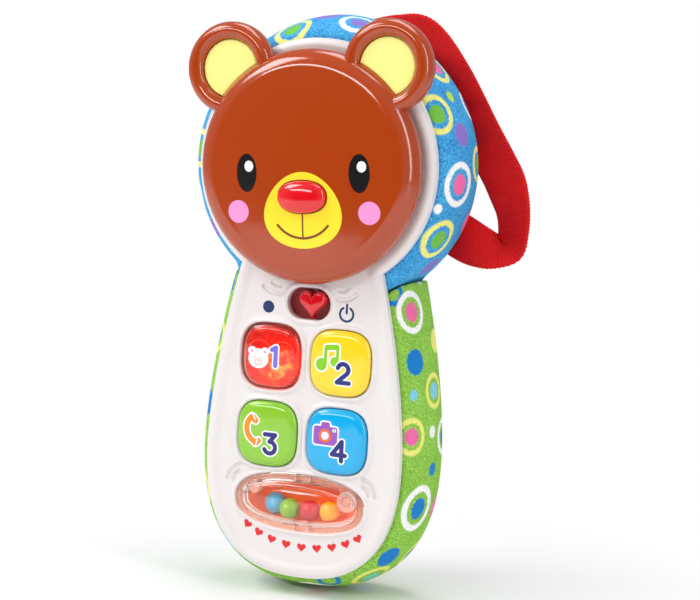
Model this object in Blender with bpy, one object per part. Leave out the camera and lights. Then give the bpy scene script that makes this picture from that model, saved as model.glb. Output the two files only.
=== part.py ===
"""Toy cell phone: a bear-faced baby phone with a sliding peek-a-boo cover, keys, rattle and plush back.

Row frame: X to the right seen from the front, Z up along the phone, the front faces -Y.
The origin lies on the flat back plate, so the back of the phone is the plane y = 0.
Sizes are in millimetres and become metres where a mesh is made.
"""

import math

import bmesh
import bpy
from mathutils import Vector

MM = 0.001
GAP = 0.3

# Driving sizes
DEPTH = 36.0
FACE_Y = -DEPTH
HEAD_Z = 64.0
HEAD_R = 40.9
BODY_MID_Z = HEAD_Z - 93.0
BODY_HALF_WIDTH = 34.0
BODY_DROP = 41.5
BODY_EXPONENT = 2.5
NECK_NARROWING = 9.5
PLATE = 2.5
LIP_WIDTH = 2.2
LIP_PROUD = 0.9
SKIRT_OFFSET = -4.0
WALL = 2.0
SHELL_SPLIT_Y = -24.0
REAR_FLOOR_Y = -6.0
COVER_BACK_Y = -0.8
COVER_FLOOR_Y = -3.2
SEAM_R = 46.4
SEAM_LEVEL = -28.6
SEAM_STEPS = 20

# Face cover
DISC_R = 37.5
FACE_TILT = math.radians(3.5)
EAR_X = 27.0
EAR_RISE = 31.4
EAR_R = 15.0
EAR_INSERT_R = 9.5
NOSE_DROP = 9.4
RAIL_X = 22.0
RAIL_LOW = -20.5
COVER_TRAVEL = 40.0
MIRROR_Z = HEAD_Z - 16.5
MIRROR_WINDOW_R = 18.0
MIRROR_R = 19.2

# Keys, switch and rattle
SLOT_Z = HEAD_Z - 44.4
SLOT_SIZE = (15.2, 10.4)
HEART_X = 1.6
HEART_WIDTH = 9.1
KEY_X = 12.25
KEY_ROWS = (HEAD_Z - 62.6, HEAD_Z - 88.1)
KEY_SIZE = (20.7, 21.2)
KEY_EXPONENT = 3.1
RATTLE_Z = HEAD_Z - 109.8
RATTLE_HALF = (22.6, 9.2)
BEAD_R = 3.4

# Back
BACK_SIZE = (44.0, 88.0)
BACK_Z = -14.0
DOOR_SIZE = (30.0, 50.0)
DOOR_Z = -30.0
BATTERY_R = 5.25
BATTERY_LENGTH = 43.5
BATTERY_X = 6.2
BATTERY_Y = -9.4
SPEAKER_Z = 17.0
HEAD_SCREW = (11.0, HEAD_Z + 28.5)
BODY_SCREW = (24.6, HEAD_Z - 101.6)
SHELL_SCREWS = tuple((side * x, z) for x, z in (HEAD_SCREW, BODY_SCREW) for side in (-1, 1))
PLATE_SCREWS = ((-18.2, 22.0), (18.2, 22.0), (-18.2, -49.0), (18.2, -49.0))

WHITE = (0.87, 0.84, 0.83)
BROWN = (0.33, 0.07, 0.02)
CREAM = (0.95, 0.86, 0.28)
RED = (0.75, 0.01, 0.02)
GREEN = (0.29, 0.58, 0.06)
YELLOW = (0.90, 0.70, 0.03)
SKY = (0.01, 0.45, 0.85)
ORANGE = (0.80, 0.18, 0.05)
DARK = (0.05, 0.05, 0.06)
METAL = (0.65, 0.65, 0.66)


def clear_scene():
    for obj in list(bpy.data.objects):
        bpy.data.objects.remove(obj, do_unlink=True)


def material(name, colour, roughness=0.35, metallic=0.0, alpha=1.0):
    mat = bpy.data.materials.new(name)
    mat.use_nodes = True
    bsdf = mat.node_tree.nodes["Principled BSDF"]
    bsdf.inputs["Base Color"].default_value = (*colour, 1.0)
    bsdf.inputs["Roughness"].default_value = roughness
    bsdf.inputs["Metallic"].default_value = metallic
    bsdf.inputs["Alpha"].default_value = alpha
    return mat


# ---- outlines: lists of (x, z) around the origin of the outline ----


def superellipse(half_x, half_z, exponent, count):
    points = []
    for i in range(count):
        angle = 2 * math.pi * i / count
        c, s = math.cos(angle), math.sin(angle)
        x = math.copysign(abs(c) ** (2 / exponent), c)
        z = math.copysign(abs(s) ** (2 / exponent), s)
        points.append((half_x * x, half_z * z))
    return points


def circle(radius, count):
    return superellipse(radius, radius, 2, count)


def rounded_box(width, height, radius, steps=5):
    points = []
    corners = ((1, 1, 0), (-1, 1, 90), (-1, -1, 180), (1, -1, 270))
    for sx, sz, start in corners:
        for i in range(steps + 1):
            angle = math.radians(start + 90 * i / steps)
            x = sx * (width / 2 - radius) + radius * math.cos(angle)
            z = sz * (height / 2 - radius) + radius * math.sin(angle)
            points.append((x, z))
    return points


def heart_outline(width, count=26):
    points = []
    for i in range(count):
        t = 2 * math.pi * i / count
        x = 16 * math.sin(t) ** 3
        z = 13 * math.cos(t) - 5 * math.cos(2 * t) - 2 * math.cos(3 * t) - math.cos(4 * t) + 2.5
        points.append((x * width / 32, z * width / 32))
    return points


def body_side(t, offset):
    """The right side of the pear-shaped body: t runs from inside the head (0) to the bottom (1)."""

    def raw(t):
        if t < 0.5:
            z = -20.0 + (BODY_MID_Z - HEAD_Z + 20.0) * t * 2
            rise = max(0.0, (z - BODY_MID_Z + HEAD_Z) / 60.0)
            return Vector((BODY_HALF_WIDTH - NECK_NARROWING * rise**1.6, z))
        angle = (t - 0.5) * math.pi
        power = 2 / BODY_EXPONENT
        x = BODY_HALF_WIDTH * max(0.0, math.cos(angle)) ** power
        return Vector((x, BODY_MID_Z - HEAD_Z - BODY_DROP * math.sin(angle) ** power))

    step = 1e-3
    along = raw(min(1.0, t + step)) - raw(max(0.0, t - step))
    normal = Vector((-along.y, along.x)).normalized()
    return raw(t) + normal * offset


def phone_outline(offset, head_points=30, side_points=13):
    """The keyhole outline of head and body, grown outwards by an offset."""
    radius = HEAD_R + offset
    low, high = 0.0, 0.5
    for _ in range(40):
        middle = (low + high) / 2
        if body_side(middle, offset).length < radius:
            low = middle
        else:
            high = middle
    neck = body_side(high, offset)
    start = math.atan2(neck.y, neck.x)
    points = []
    for i in range(head_points):
        angle = start + (math.pi - 2 * start) * i / (head_points - 1)
        points.append((radius * math.cos(angle), HEAD_Z + radius * math.sin(angle)))
    side = [high + (1 - high) * i / side_points for i in range(1, side_points + 1)]
    right = [body_side(t, offset) for t in side]
    points += [(-p.x, HEAD_Z + p.y) for p in right[:-1]]
    points.append((0.0, HEAD_Z + right[-1].y))
    points += [(p.x, HEAD_Z + p.y) for p in reversed(right[:-1])]
    return points


# ---- solids ----


def mesh_object(name, points, faces, mat):
    bm = bmesh.new()
    verts = [bm.verts.new(Vector(p) * MM) for p in points]
    for face in faces:
        bm.faces.new([verts[i] for i in face])
    bmesh.ops.recalc_face_normals(bm, faces=bm.faces)
    mesh = bpy.data.meshes.new(name)
    bm.to_mesh(mesh)
    bm.free()
    obj = bpy.data.objects.new(name, mesh)
    bpy.context.scene.collection.objects.link(obj)
    if mat:
        mesh.materials.append(mat)
        mesh.shade_smooth()
        mesh.set_sharp_from_angle(angle=math.radians(35))
    else:
        obj.hide_render = True
        obj.display_type = "WIRE"
    return obj


def loft(name, rings, mat=None, caps=True):
    """Closed rings of equal length joined by quads, with flat end faces."""
    count = len(rings[0])
    points = [p for ring in rings for p in ring]
    faces = []
    for k in range(len(rings) - 1):
        for i in range(count):
            j = (i + 1) % count
            faces.append((k * count + i, k * count + j, (k + 1) * count + j, (k + 1) * count + i))
    if caps:
        faces.append(tuple(range(count)))
        faces.append(tuple(range((len(rings) - 1) * count, len(rings) * count)))
    return mesh_object(name, points, faces, mat)


def ring_at(outline, y, centre=(0.0, 0.0)):
    return [(x + centre[0], y, z + centre[1]) for x, z in outline]


def prism(name, outline, y0, y1, centre=(0.0, 0.0), mat=None):
    return loft(name, [ring_at(outline, y0, centre), ring_at(outline, y1, centre)], mat)


def turned(name, profile, centre=(0.0, 0.0), mat=None, segments=24):
    """A solid turned about the Y direction: the profile lists (radius, y)."""
    return loft(name, [ring_at(circle(r, segments), y, centre) for r, y in profile], mat)


def stacked(name, stations, exponent, count, centre=(0.0, 0.0), mat=None):
    """Superellipse stations (half_x, half_z, y) joined in order."""
    rings = [ring_at(superellipse(hx, hz, exponent, count), y, centre) for hx, hz, y in stations]
    return loft(name, rings, mat)


def shell_loft(name, stations, mat):
    """Phone outline stations (offset, y) joined in order."""
    return loft(name, [ring_at(phone_outline(offset), y) for offset, y in stations], mat)


def combine(target, tool, operation):
    modifier = target.modifiers.new(operation.lower(), "BOOLEAN")
    modifier.operation = operation
    modifier.solver = "EXACT"
    modifier.object = tool


def cut(target, tool):
    combine(target, tool, "DIFFERENCE")


def fuse(target, tool):
    combine(target, tool, "UNION")


# ---- strap path, shared by the strap and the slits it is sewn into ----

STRAP_WIDTH = 15.0
STRAP_THICKNESS = 1.4
STRAP_STATIONS = (
    # centre x, y, z from the head's centre at the back plane; direction across the webbing
    ((6.0, -3.8, 41.0), (0.05, 0.00, 1.00)),
    ((14.5, -4.8, 42.6), (0.25, -0.05, 0.95)),
    ((23.4, -5.6, 42.0), (0.52, -0.10, 0.80)),
    ((33.4, -5.6, 30.5), (0.76, -0.10, 0.58)),
    ((44.6, -5.6, 12.5), (0.90, -0.12, 0.38)),
    ((50.8, -5.8, 3.0), (0.96, -0.14, 0.20)),
    ((54.5, -6.4, -3.0), (0.97, -0.20, 0.02)),
    ((57.8, -8.0, -10.5), (0.90, -0.42, 0.06)),
    ((58.8, -9.0, -18.0), (0.84, -0.53, 0.05)),
    ((57.6, -9.2, -23.5), (0.80, -0.56, -0.20)),
    ((52.8, -9.8, -25.0), (0.50, -0.62, -0.60)),
    ((46.0, -9.2, -23.2), (0.15, -0.45, -0.88)),
    ((38.5, -8.0, -19.8), (0.00, -0.20, -0.98)),
)


def spline_point(values, t):
    """Catmull-Rom through the listed vectors; t runs from 0 to 1."""
    last = len(values) - 1
    place = min(max(t, 0.0), 1.0) * last
    k = min(int(place), last - 1)
    u = place - k
    a, b, c, d = (Vector(values[min(max(k + i, 0), last)]) for i in (-1, 0, 1, 2))
    return 0.5 * (2 * b + (c - a) * u + (2 * a - 5 * b + 4 * c - d) * u * u + (3 * b - a - 3 * c + d) * u**3)


def strap(name, width, thickness, mat=None, steps=36):
    centres = [s[0] for s in STRAP_STATIONS]
    across = [s[1] for s in STRAP_STATIONS]
    rings = []
    for i in range(steps + 1):
        t = i / steps
        centre = spline_point(centres, t) + Vector((0.0, 0.0, HEAD_Z))
        along = spline_point(centres, min(1, t + 0.01)) - spline_point(centres, max(0, t - 0.01))
        wide = spline_point(across, t)
        wide = (wide - wide.project(along)).normalized()
        normal = along.cross(wide).normalized()
        ring = []
        for sw, sn in ((1, 1), (-1, 1), (-1, -1), (1, -1)):
            ring.append(tuple(centre + wide * (sw * width / 2) + normal * (sn * thickness / 2)))
        rings.append(ring)
    return loft(name, rings, mat)


# ---- housings ----


def key_centres():
    return [(-KEY_X, KEY_ROWS[0]), (KEY_X, KEY_ROWS[0]), (-KEY_X, KEY_ROWS[1]), (KEY_X, KEY_ROWS[1])]


def key_outline(grow, count=24):
    return superellipse(KEY_SIZE[0] / 2 + grow, KEY_SIZE[1] / 2 + grow, KEY_EXPONENT, count)


def make_front_shell():
    inner = SKIRT_OFFSET - WALL
    stations = (
        (-LIP_WIDTH - 0.3, FACE_Y),
        (-LIP_WIDTH, FACE_Y - LIP_PROUD),
        (-0.6, FACE_Y - LIP_PROUD),
        (0.0, FACE_Y - 0.3),
        (0.0, FACE_Y + PLATE),
        (SKIRT_OFFSET, FACE_Y + PLATE),
        (SKIRT_OFFSET, SHELL_SPLIT_Y - GAP / 2),
        (inner, SHELL_SPLIT_Y - GAP / 2),
        (inner, FACE_Y + PLATE),
    )
    shell = shell_loft("front_shell", stations, material("front_shell", WHITE, 0.3))
    add_raised_lips(shell)
    add_posts(shell)
    cut_front_openings(shell)
    return shell


def add_raised_lips(shell):
    for i, centre in enumerate(key_centres()):
        fuse(shell, prism(f"key_lip_guide_{i}", key_outline(1.6), FACE_Y - 0.9, FACE_Y + 0.5, centre))
    slot = rounded_box(SLOT_SIZE[0] + 3.0, SLOT_SIZE[1] + 3.0, SLOT_SIZE[1] / 2 + 1.4)
    fuse(shell, prism("slot_lip_guide", slot, FACE_Y - 0.8, FACE_Y + 0.5, (0.0, SLOT_Z)))
    rattle = superellipse(RATTLE_HALF[0] + 1.4, RATTLE_HALF[1] + 1.4, 2.4, 32)
    fuse(shell, prism("rattle_lip_guide", rattle, FACE_Y - 0.5, FACE_Y + 0.5, (0.0, RATTLE_Z)))


def add_posts(shell):
    for i, centre in enumerate(SHELL_SCREWS):
        post_end = REAR_FLOOR_Y - WALL - GAP
        fuse(shell, prism(f"post_guide_{i}", circle(2.7, 12), FACE_Y + 1.5, post_end, centre))
        cut(shell, prism(f"post_bore_{i}", circle(1.6, 8), -23.0, 0.0, centre))


def cut_front_openings(shell):
    front, back = FACE_Y - 5.0, FACE_Y + PLATE + 3.0
    cut(shell, prism("mirror_window_cutter", circle(MIRROR_WINDOW_R, 32), front, back, (0.0, MIRROR_Z)))
    rail_length = COVER_TRAVEL + 6.0
    rail_middle = HEAD_Z + RAIL_LOW + COVER_TRAVEL / 2
    for side in (-1, 1):
        rail = rounded_box(3.2, rail_length, 1.5, 3)
        cut(shell, prism(f"rail_cutter_{side + 1}", rail, front, back, (side * RAIL_X, rail_middle)))
    slot = rounded_box(*SLOT_SIZE, SLOT_SIZE[1] / 2 - 0.1)
    cut(shell, prism("slot_cutter", slot, front, back, (0.0, SLOT_Z)))
    for i, centre in enumerate(key_centres()):
        cut(shell, prism(f"key_cutter_{i}", key_outline(GAP), front, back, centre))
    rattle = superellipse(RATTLE_HALF[0] + GAP, RATTLE_HALF[1] + GAP, 2.4, 32)
    cut(shell, prism("rattle_cutter", rattle, front, back, (0.0, RATTLE_Z)))


def make_rear_shell():
    inner = SKIRT_OFFSET - WALL
    stations = (
        (SKIRT_OFFSET - 3.0, REAR_FLOOR_Y),
        (SKIRT_OFFSET, REAR_FLOOR_Y - 3.0),
        (SKIRT_OFFSET, SHELL_SPLIT_Y + GAP / 2),
        (inner, SHELL_SPLIT_Y + GAP / 2),
        (inner, REAR_FLOOR_Y - WALL),
    )
    shell = shell_loft("rear_shell", stations, material("rear_shell", WHITE, 0.45))
    width, height = DOOR_SIZE
    bay = rounded_box(width, height + 3.0, 2.0, 3)
    fuse(shell, prism("bay_guide", bay, -17.0, REAR_FLOOR_Y - 1.0, (0.0, DOOR_Z)))
    cavity = rounded_box(width - 4.0, height - 1.0, 1.0, 3)
    cut(shell, prism("bay_cutter", cavity, -15.4, 0.0, (0.0, DOOR_Z)))
    cut(shell, prism("speaker_cutter", circle(11.0, 24), -12.0, 0.0, (0.0, SPEAKER_Z)))
    for i, centre in enumerate(SHELL_SCREWS):
        cut(shell, prism(f"shell_screw_cutter_{i}", circle(1.7, 8), -12.0, 0.0, centre))
    for i, centre in enumerate(PLATE_SCREWS):
        cut(shell, prism(f"plate_screw_cutter_{i}", circle(1.4, 8), -16.0, 0.0, centre))
    return shell


def make_back_plate():
    width, height = BACK_SIZE
    stations = ((-1.0, 0.0), (0.0, -1.0), (0.0, REAR_FLOOR_Y + GAP))
    rings = []
    for grow, y in stations:
        outline = rounded_box(width + 2 * grow, height + 2 * grow, 12.0 + grow, 6)
        rings.append(ring_at(outline, y, (0.0, BACK_Z)))
    plate = loft("back_plate", rings, material("back_plate", WHITE, 0.45))
    seat = rounded_box(DOOR_SIZE[0] + 0.7, DOOR_SIZE[1] + 0.7, 3.3)
    cut(plate, prism("door_seat", seat, -2.1, 2.0, (0.0, DOOR_Z)))
    opening = rounded_box(DOOR_SIZE[0] - 4.0, DOOR_SIZE[1] - 1.0, 1.0, 3)
    cut(plate, prism("door_opening", opening, -8.0, 2.0, (0.0, DOOR_Z)))
    cut(plate, prism("speaker_pocket", circle(12.0, 24), -8.0, -2.2, (0.0, SPEAKER_Z)))
    cut_grille(plate)
    for i, (x, z) in enumerate(PLATE_SCREWS):
        cut(plate, prism(f"head_seat_{i}", circle(2.9, 12), -3.4, 1.0, (x, z)))
        cut(plate, prism(f"shank_hole_{i}", circle(1.4, 8), -8.0, 1.0, (x, z)))
    return plate


def cut_grille(plate):
    places = [(0.0, 0.0)]
    for count, radius in ((6, 3.3), (10, 6.6)):
        for i in range(count):
            angle = 2 * math.pi * i / count
            places.append((radius * math.cos(angle), radius * math.sin(angle)))
    for i, (x, z) in enumerate(places):
        hole = prism(f"grille_cutter_{i}", circle(0.9, 8), -4.0, 1.0, (x, SPEAKER_Z + z))
        cut(plate, hole)


# ---- soft cover, padding and strap ----


def cover_stations():
    return (
        (-9.0, COVER_BACK_Y),
        (-2.5, -1.6),
        (2.2, -4.2),
        (5.4, -8.6),
        (6.5, -14.0),
        (6.2, -20.0),
        (5.0, -26.0),
        (3.4, -30.6),
        (1.0, FACE_Y + PLATE + GAP),
        (SKIRT_OFFSET + GAP, FACE_Y + PLATE + GAP),
        (SKIRT_OFFSET + GAP, REAR_FLOOR_Y + GAP),
        (SKIRT_OFFSET - 1.0, COVER_FLOOR_Y),
    )


def make_covers():
    slit = strap("strap_slit", STRAP_WIDTH + 1.2, STRAP_THICKNESS + 1.2)
    head = shell_loft("head_cover", cover_stations(), material("head_cover", SKY, 0.9))
    cut(head, prism("head_under_cutter", below_seam(SEAM_R - GAP, SEAM_LEVEL), -50.0, 20.0))
    cut(head, slit)
    cut(head, back_plate_cutter("head_plate_cutter"))
    body = shell_loft("body_cover", cover_stations(), material("body_cover", GREEN, 0.9))
    combine(body, prism("body_keep", below_seam(SEAM_R, SEAM_LEVEL - GAP), -50.0, 20.0), "INTERSECT")
    cut(body, back_plate_cutter("body_plate_cutter"))
    return head, body


def below_seam(radius, level):
    """Everything below the seam, which follows the head's circle between two level stretches."""
    start = math.asin(level / radius)
    points = []
    for i in range(SEAM_STEPS + 1):
        angle = start - (math.pi + 2 * start) * i / SEAM_STEPS
        points.append((radius * math.cos(angle), HEAD_Z + radius * math.sin(angle)))
    return points + [(-90.0, HEAD_Z + level), (-90.0, -120.0), (90.0, -120.0), (90.0, HEAD_Z + level)]


def back_plate_cutter(name):
    outline = rounded_box(BACK_SIZE[0] + 2 * GAP, BACK_SIZE[1] + 2 * GAP, 12.0 + GAP, 6)
    return prism(name, outline, -20.0, 10.0, (0.0, BACK_Z))


def make_foam_pad():
    pad = prism("foam_pad", circle(HEAD_R + SKIRT_OFFSET - 4.0, 48), REAR_FLOOR_Y + GAP, COVER_FLOOR_Y - GAP,
                (0.0, HEAD_Z), material("foam_pad", WHITE, 0.9))
    for i, centre in enumerate(SHELL_SCREWS[:2]):
        cut(pad, prism(f"foam_screw_cutter_{i}", circle(3.2, 12), -8.0, 0.0, centre))


# ---- face cover ----


def make_bear_face():
    front = FACE_Y
    profile = (
        (33.8, front - 8.2),
        (34.8, front - 5.0),
        (34.6, front - 1.6),
        (36.7, front - 1.6),
        (37.5, front - 4.5),
        (36.9, front - 7.2),
        (35.0, front - 9.2),
        (31.0, front - 10.4),
        (20.0, front - 11.2),
        (8.0, front - 11.5),
    )
    face = turned("bear_face", profile, (0.0, HEAD_Z), material("bear_face", BROWN, 0.12), 40)
    for side in (-1, 1):
        fuse(face, ear_guide(side))
    cut(face, prism("disc_hollow", circle(34.0, 32), front - 8.0, front + 2.0, (0.0, HEAD_Z)))
    for side in (-1, 1):
        place = (side * RAIL_X, HEAD_Z + RAIL_LOW)
        foot = rounded_box(2.4, 5.0, 1.0, 3)
        fuse(face, prism(f"foot_guide_{side + 1}", foot, front - 9.0, front + PLATE, place))
        cut(face, prism(f"foot_bore_{side + 1}", circle(1.0, 10), front - 3.0, front + 5.0, place))
    cut(face, prism("nose_bore", circle(2.0, 16), front - 15.0, front - 5.0, on_face(0.0, -NOSE_DROP)))
    return face


def on_face(x, z):
    """A place on the bear face, which sits slightly tilted on the phone."""
    c, s = math.cos(FACE_TILT), math.sin(FACE_TILT)
    return (x * c - z * s, HEAD_Z + x * s + z * c)


def ear_guide(side):
    front = FACE_Y
    profile = (
        (13.4, front - 1.8),
        (EAR_R, front - 3.6),
        (EAR_R, front - 6.0),
        (13.9, front - 7.8),
        (12.2, front - 8.3),
        (10.4, front - 7.6),
        (EAR_INSERT_R, front - 6.4),
        (EAR_INSERT_R, front - 4.8),
    )
    return turned(f"ear_guide_{side + 1}", profile, on_face(side * EAR_X, EAR_RISE), None, 24)


def make_ear_insert(side, name):
    front = FACE_Y
    profile = ((EAR_INSERT_R - GAP, front - 6.2), (EAR_INSERT_R - GAP, front - 5.1))
    insert = turned(name, profile, on_face(side * EAR_X, EAR_RISE),
                    material(name, CREAM, 0.4), 24)
    cut(insert, prism(f"{name}_cutter", circle(DISC_R + GAP, 60), front - 15.0, front, (0.0, HEAD_Z)))
    return insert


def make_nose():
    front = FACE_Y
    sizes = ((8.2, 5.2, 11.8), (8.3, 5.3, 12.7), (6.6, 4.0, 13.7), (3.6, 2.0, 14.1))
    stations = [(half_x, half_z, front - rise) for half_x, half_z, rise in sizes]
    centre = on_face(0.0, -NOSE_DROP)
    nose = stacked("nose", stations, 2.4, 20, centre, material("nose", RED, 0.15))
    fuse(nose, prism("nose_stem", circle(1.6, 12), front - 12.4, front - 8.5, centre))
    return nose


def make_cover_runner(side, name):
    front = FACE_Y
    centre = (side * RAIL_X, HEAD_Z + RAIL_LOW)
    outline = rounded_box(4.4, 6.6, 1.2, 3)
    shoe = prism(f"cover_shoe_{name}", outline, front + PLATE + GAP, front + 4.6, centre,
                 material(f"cover_shoe_{name}", DARK, 0.4))
    cut(shoe, prism(f"shoe_bore_{name}", circle(1.0, 10), front, front + 8.0, centre))
    profile = ((1.7, front + 6.2), (1.7, front + 4.9), (0.7, front + 4.9), (0.7, front - 1.6))
    turned(f"cover_screw_{name}", profile, centre, material(f"cover_screw_{name}", METAL, 0.3, 1.0), 12)


def make_mirror():
    front = FACE_Y + PLATE
    centre = (0.0, MIRROR_Z)
    disc = circle(MIRROR_R, 32)
    silver = material("mirror", (0.9, 0.9, 0.92), 0.03, 1.0)
    prism("mirror", disc, front + GAP, front + 1.5, centre, silver)
    prism("mirror_backing", disc, front + 1.8, front + 3.0, centre, material("mirror_backing", WHITE, 0.5))


# ---- switch, keys and electronics ----


def make_heart_slider():
    base = rounded_box(20.4, 12.0, 5.0, 4)
    centre = (HEART_X, SLOT_Z)
    slider = prism("heart_slider", base, FACE_Y + PLATE + GAP, FACE_Y + 3.9, centre,
                   material("heart_slider", RED, 0.2))
    outline = heart_outline(HEART_WIDTH)
    inner = [(x * 0.82, z * 0.82) for x, z in outline]
    steps = ((outline, 3.2), (outline, -1.6), (inner, -2.4))
    fuse(slider, loft("heart_guide", [ring_at(shape, FACE_Y + depth, centre) for shape, depth in steps]))
    lever = rounded_box(3.0, 3.0, 0.8, 2)
    prism("switch_lever", lever, FACE_Y + 4.2, FACE_Y + 6.4, centre, material("switch_lever", DARK, 0.4))


def make_slide_switch():
    switch = prism("slide_switch", rounded_box(14.0, 7.0, 0.8, 2), FACE_Y + 4.8, FACE_Y + 7.2, (0.0, SLOT_Z),
                   material("slide_switch", METAL, 0.35, 1.0))
    opening = rounded_box(9.4, 4.0, 0.8, 2)
    cut(switch, prism("lever_cutter", opening, FACE_Y + 2.0, FACE_Y + 6.7, (0.0, SLOT_Z)))


def make_key(index, centre, colour, alpha=1.0):
    front = FACE_Y
    half_x, half_z = KEY_SIZE[0] / 2, KEY_SIZE[1] / 2
    stations = (
        (-2.4, front - 2.2),
        (-0.6, front - 1.8),
        (0.0, front - 0.9),
        (0.0, front + PLATE + GAP),
        (0.8, front + PLATE + GAP),
        (0.8, front + 3.9),
        (-1.8, front + 3.9),
        (-1.8, front - 0.2),
    )
    rings = [ring_at(superellipse(half_x + g, half_z + g, KEY_EXPONENT, 24), y, centre) for g, y in stations]
    loft(f"button_{index}", rings, material(f"button_{index}", colour, 0.15, 0.0, alpha))


def make_keys():
    colours = (RED, YELLOW, GREEN, SKY)
    for i, (centre, colour) in enumerate(zip(key_centres(), colours)):
        make_key(i + 1, centre, colour, 0.8 if i == 0 else 1.0)
    x, z = key_centres()[0]
    outline = superellipse(8.2, 8.4, KEY_EXPONENT, 20)
    reflector = prism("light_reflector", outline, FACE_Y + 0.2, FACE_Y + 3.6, (x, z),
                      material("light_reflector", ORANGE, 0.3))
    cut(reflector, prism("reflector_bore", circle(6.2, 16), FACE_Y - 5.0, FACE_Y + 8.0, (x, z)))


def make_keypad():
    middle = (KEY_ROWS[0] + KEY_ROWS[1]) / 2
    outline = rounded_box(41.0, 46.0, 4.0, 3)
    pad = prism("keypad", outline, FACE_Y + 5.8, FACE_Y + 7.2, (0.0, middle), material("keypad", METAL, 0.7))
    for i, centre in enumerate(key_centres()):
        radius = 5.4 if i == 0 else 3.6
        top = FACE_Y + 2.6 if i == 0 else FACE_Y + 1.4
        fuse(pad, prism(f"dome_guide_{i}", circle(radius, 12), top, FACE_Y + 6.4, centre))
    cut(pad, prism("led_bore", circle(3.3, 12), FACE_Y - 2.0, FACE_Y + 10.0, key_centres()[0]))


def make_electronics():
    board = rounded_box(38.0, 62.0, 1.5, 2)
    prism("circuit_board", board, FACE_Y + 7.5, FACE_Y + 9.1, (0.0, HEAD_Z - 69.5),
          material("circuit_board", (0.02, 0.2, 0.06), 0.5))
    led = [(r, FACE_Y + depth) for r, depth in ((2.9, 7.2), (2.9, 6.4), (2.5, 6.4), (2.5, 4.6), (1.4, 3.2))]
    turned("led", led, key_centres()[0], material("led", (0.9, 0.2, 0.02), 0.2), 16)
    cone = ((9.0, -14.4), (9.0, -12.0), (12.2, -10.4), (12.2, REAR_FLOOR_Y - WALL - GAP))
    turned("speaker", cone, (0.0, SPEAKER_Z), material("speaker", DARK, 0.5), 28)


def make_rattle():
    front = FACE_Y
    centre = (0.0, RATTLE_Z)
    hx, hz = RATTLE_HALF
    window = (
        (hx - 6.0, hz - 5.0, front - 4.2),
        (hx - 3.0, hz - 2.4, front - 3.2),
        (hx - 1.9, hz - 1.5, front - 0.9),
        (hx, hz, front - 0.6),
        (hx, hz, front + 1.6),
        (hx - 3.2, hz - 2.4, front + 1.6),
        (hx - 3.4, hz - 2.7, front - 1.4),
        (hx - 6.5, hz - 5.2, front - 2.8),
    )
    clear = material("rattle_window", (0.95, 0.95, 0.95), 0.05, 0.0, 0.3)
    stacked("rattle_window", window, 2.4, 32, centre, clear)
    tray = (
        (hx + 1.0, hz + 1.0, front + PLATE + GAP),
        (hx + 1.0, hz + 1.0, front + 3.8),
        (hx - 1.6, hz - 1.0, front + 5.0),
        (hx - 1.8, hz - 1.2, front + 11.0),
        (1.0, 0.8, front + 11.0),
    )
    body = stacked("rattle_tray", tray, 2.8, 32, centre, material("rattle_tray", ORANGE, 0.3))
    cavity = ((hx - 2.8, hz - 2.2, front), (hx - 3.0, hz - 2.4, front + 9.6))
    cut(body, stacked("tray_cutter", cavity, 3.0, 32, centre))


def bead_places():
    """Centre of each bead: (x, depth behind the face, height from the window's centre)."""
    return ((-11.0, 6.2, -2.4), (-4.6, 3.4, -3.1), (2.6, 3.4, -2.9), (9.6, 3.4, -2.4))


def make_beads():
    colours = ((0.02, 0.25, 0.8), (0.35, 0.65, 0.02), (0.8, 0.02, 0.05), (0.95, 0.65, 0.02))
    for i, ((x, depth, height), colour) in enumerate(zip(bead_places(), colours)):
        mesh = bpy.data.meshes.new(f"bead_{i + 1}")
        bm = bmesh.new()
        bmesh.ops.create_uvsphere(bm, u_segments=12, v_segments=8, radius=BEAD_R * MM)
        bm.to_mesh(mesh)
        bm.free()
        mesh.shade_smooth()
        mesh.materials.append(material(f"bead_{i + 1}", colour, 0.15))
        bead = bpy.data.objects.new(f"bead_{i + 1}", mesh)
        bead.location = Vector((x, FACE_Y + depth, RATTLE_Z + height)) * MM
        bpy.context.scene.collection.objects.link(bead)


# ---- batteries, door and fasteners ----


def along_z(name, profile, centre, mat, segments=20):
    """A solid turned about the Z direction: the profile lists (radius, z)."""
    rings = []
    for radius, z in profile:
        rings.append([(centre[0] + x, centre[1] + y, z) for x, y in circle(radius, segments)])
    return loft(name, rings, mat)


def make_batteries():
    half = BATTERY_LENGTH / 2
    for side, name in ((-1, "left"), (1, "right")):
        centre = (side * BATTERY_X, BATTERY_Y)
        flip = side
        nub = half + 1.0
        middle = DOOR_Z + flip * 0.5
        profile = [(BATTERY_R, -half), (BATTERY_R, half), (1.9, half), (1.9, nub)]
        placed = [(r, middle + flip * z) for r, z in profile]
        along_z(f"battery_{name}", placed, centre, material(f"battery_{name}", (0.12, 0.12, 0.13), 0.3, 0.6))
        make_spring(f"battery_spring_{name}", centre, middle - flip * (half + GAP), -flip)
        plate_z = middle + flip * (nub + 0.3)
        contact = rounded_box(9.0, 9.0, 1.0, 2)
        ends = (plate_z, plate_z + flip * 0.35)
        rings = [[(centre[0] + x, centre[1] + y, z) for x, y in contact] for z in ends]
        loft(f"battery_contact_{name}", rings, material(f"battery_contact_{name}", METAL, 0.25, 1.0))


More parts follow.
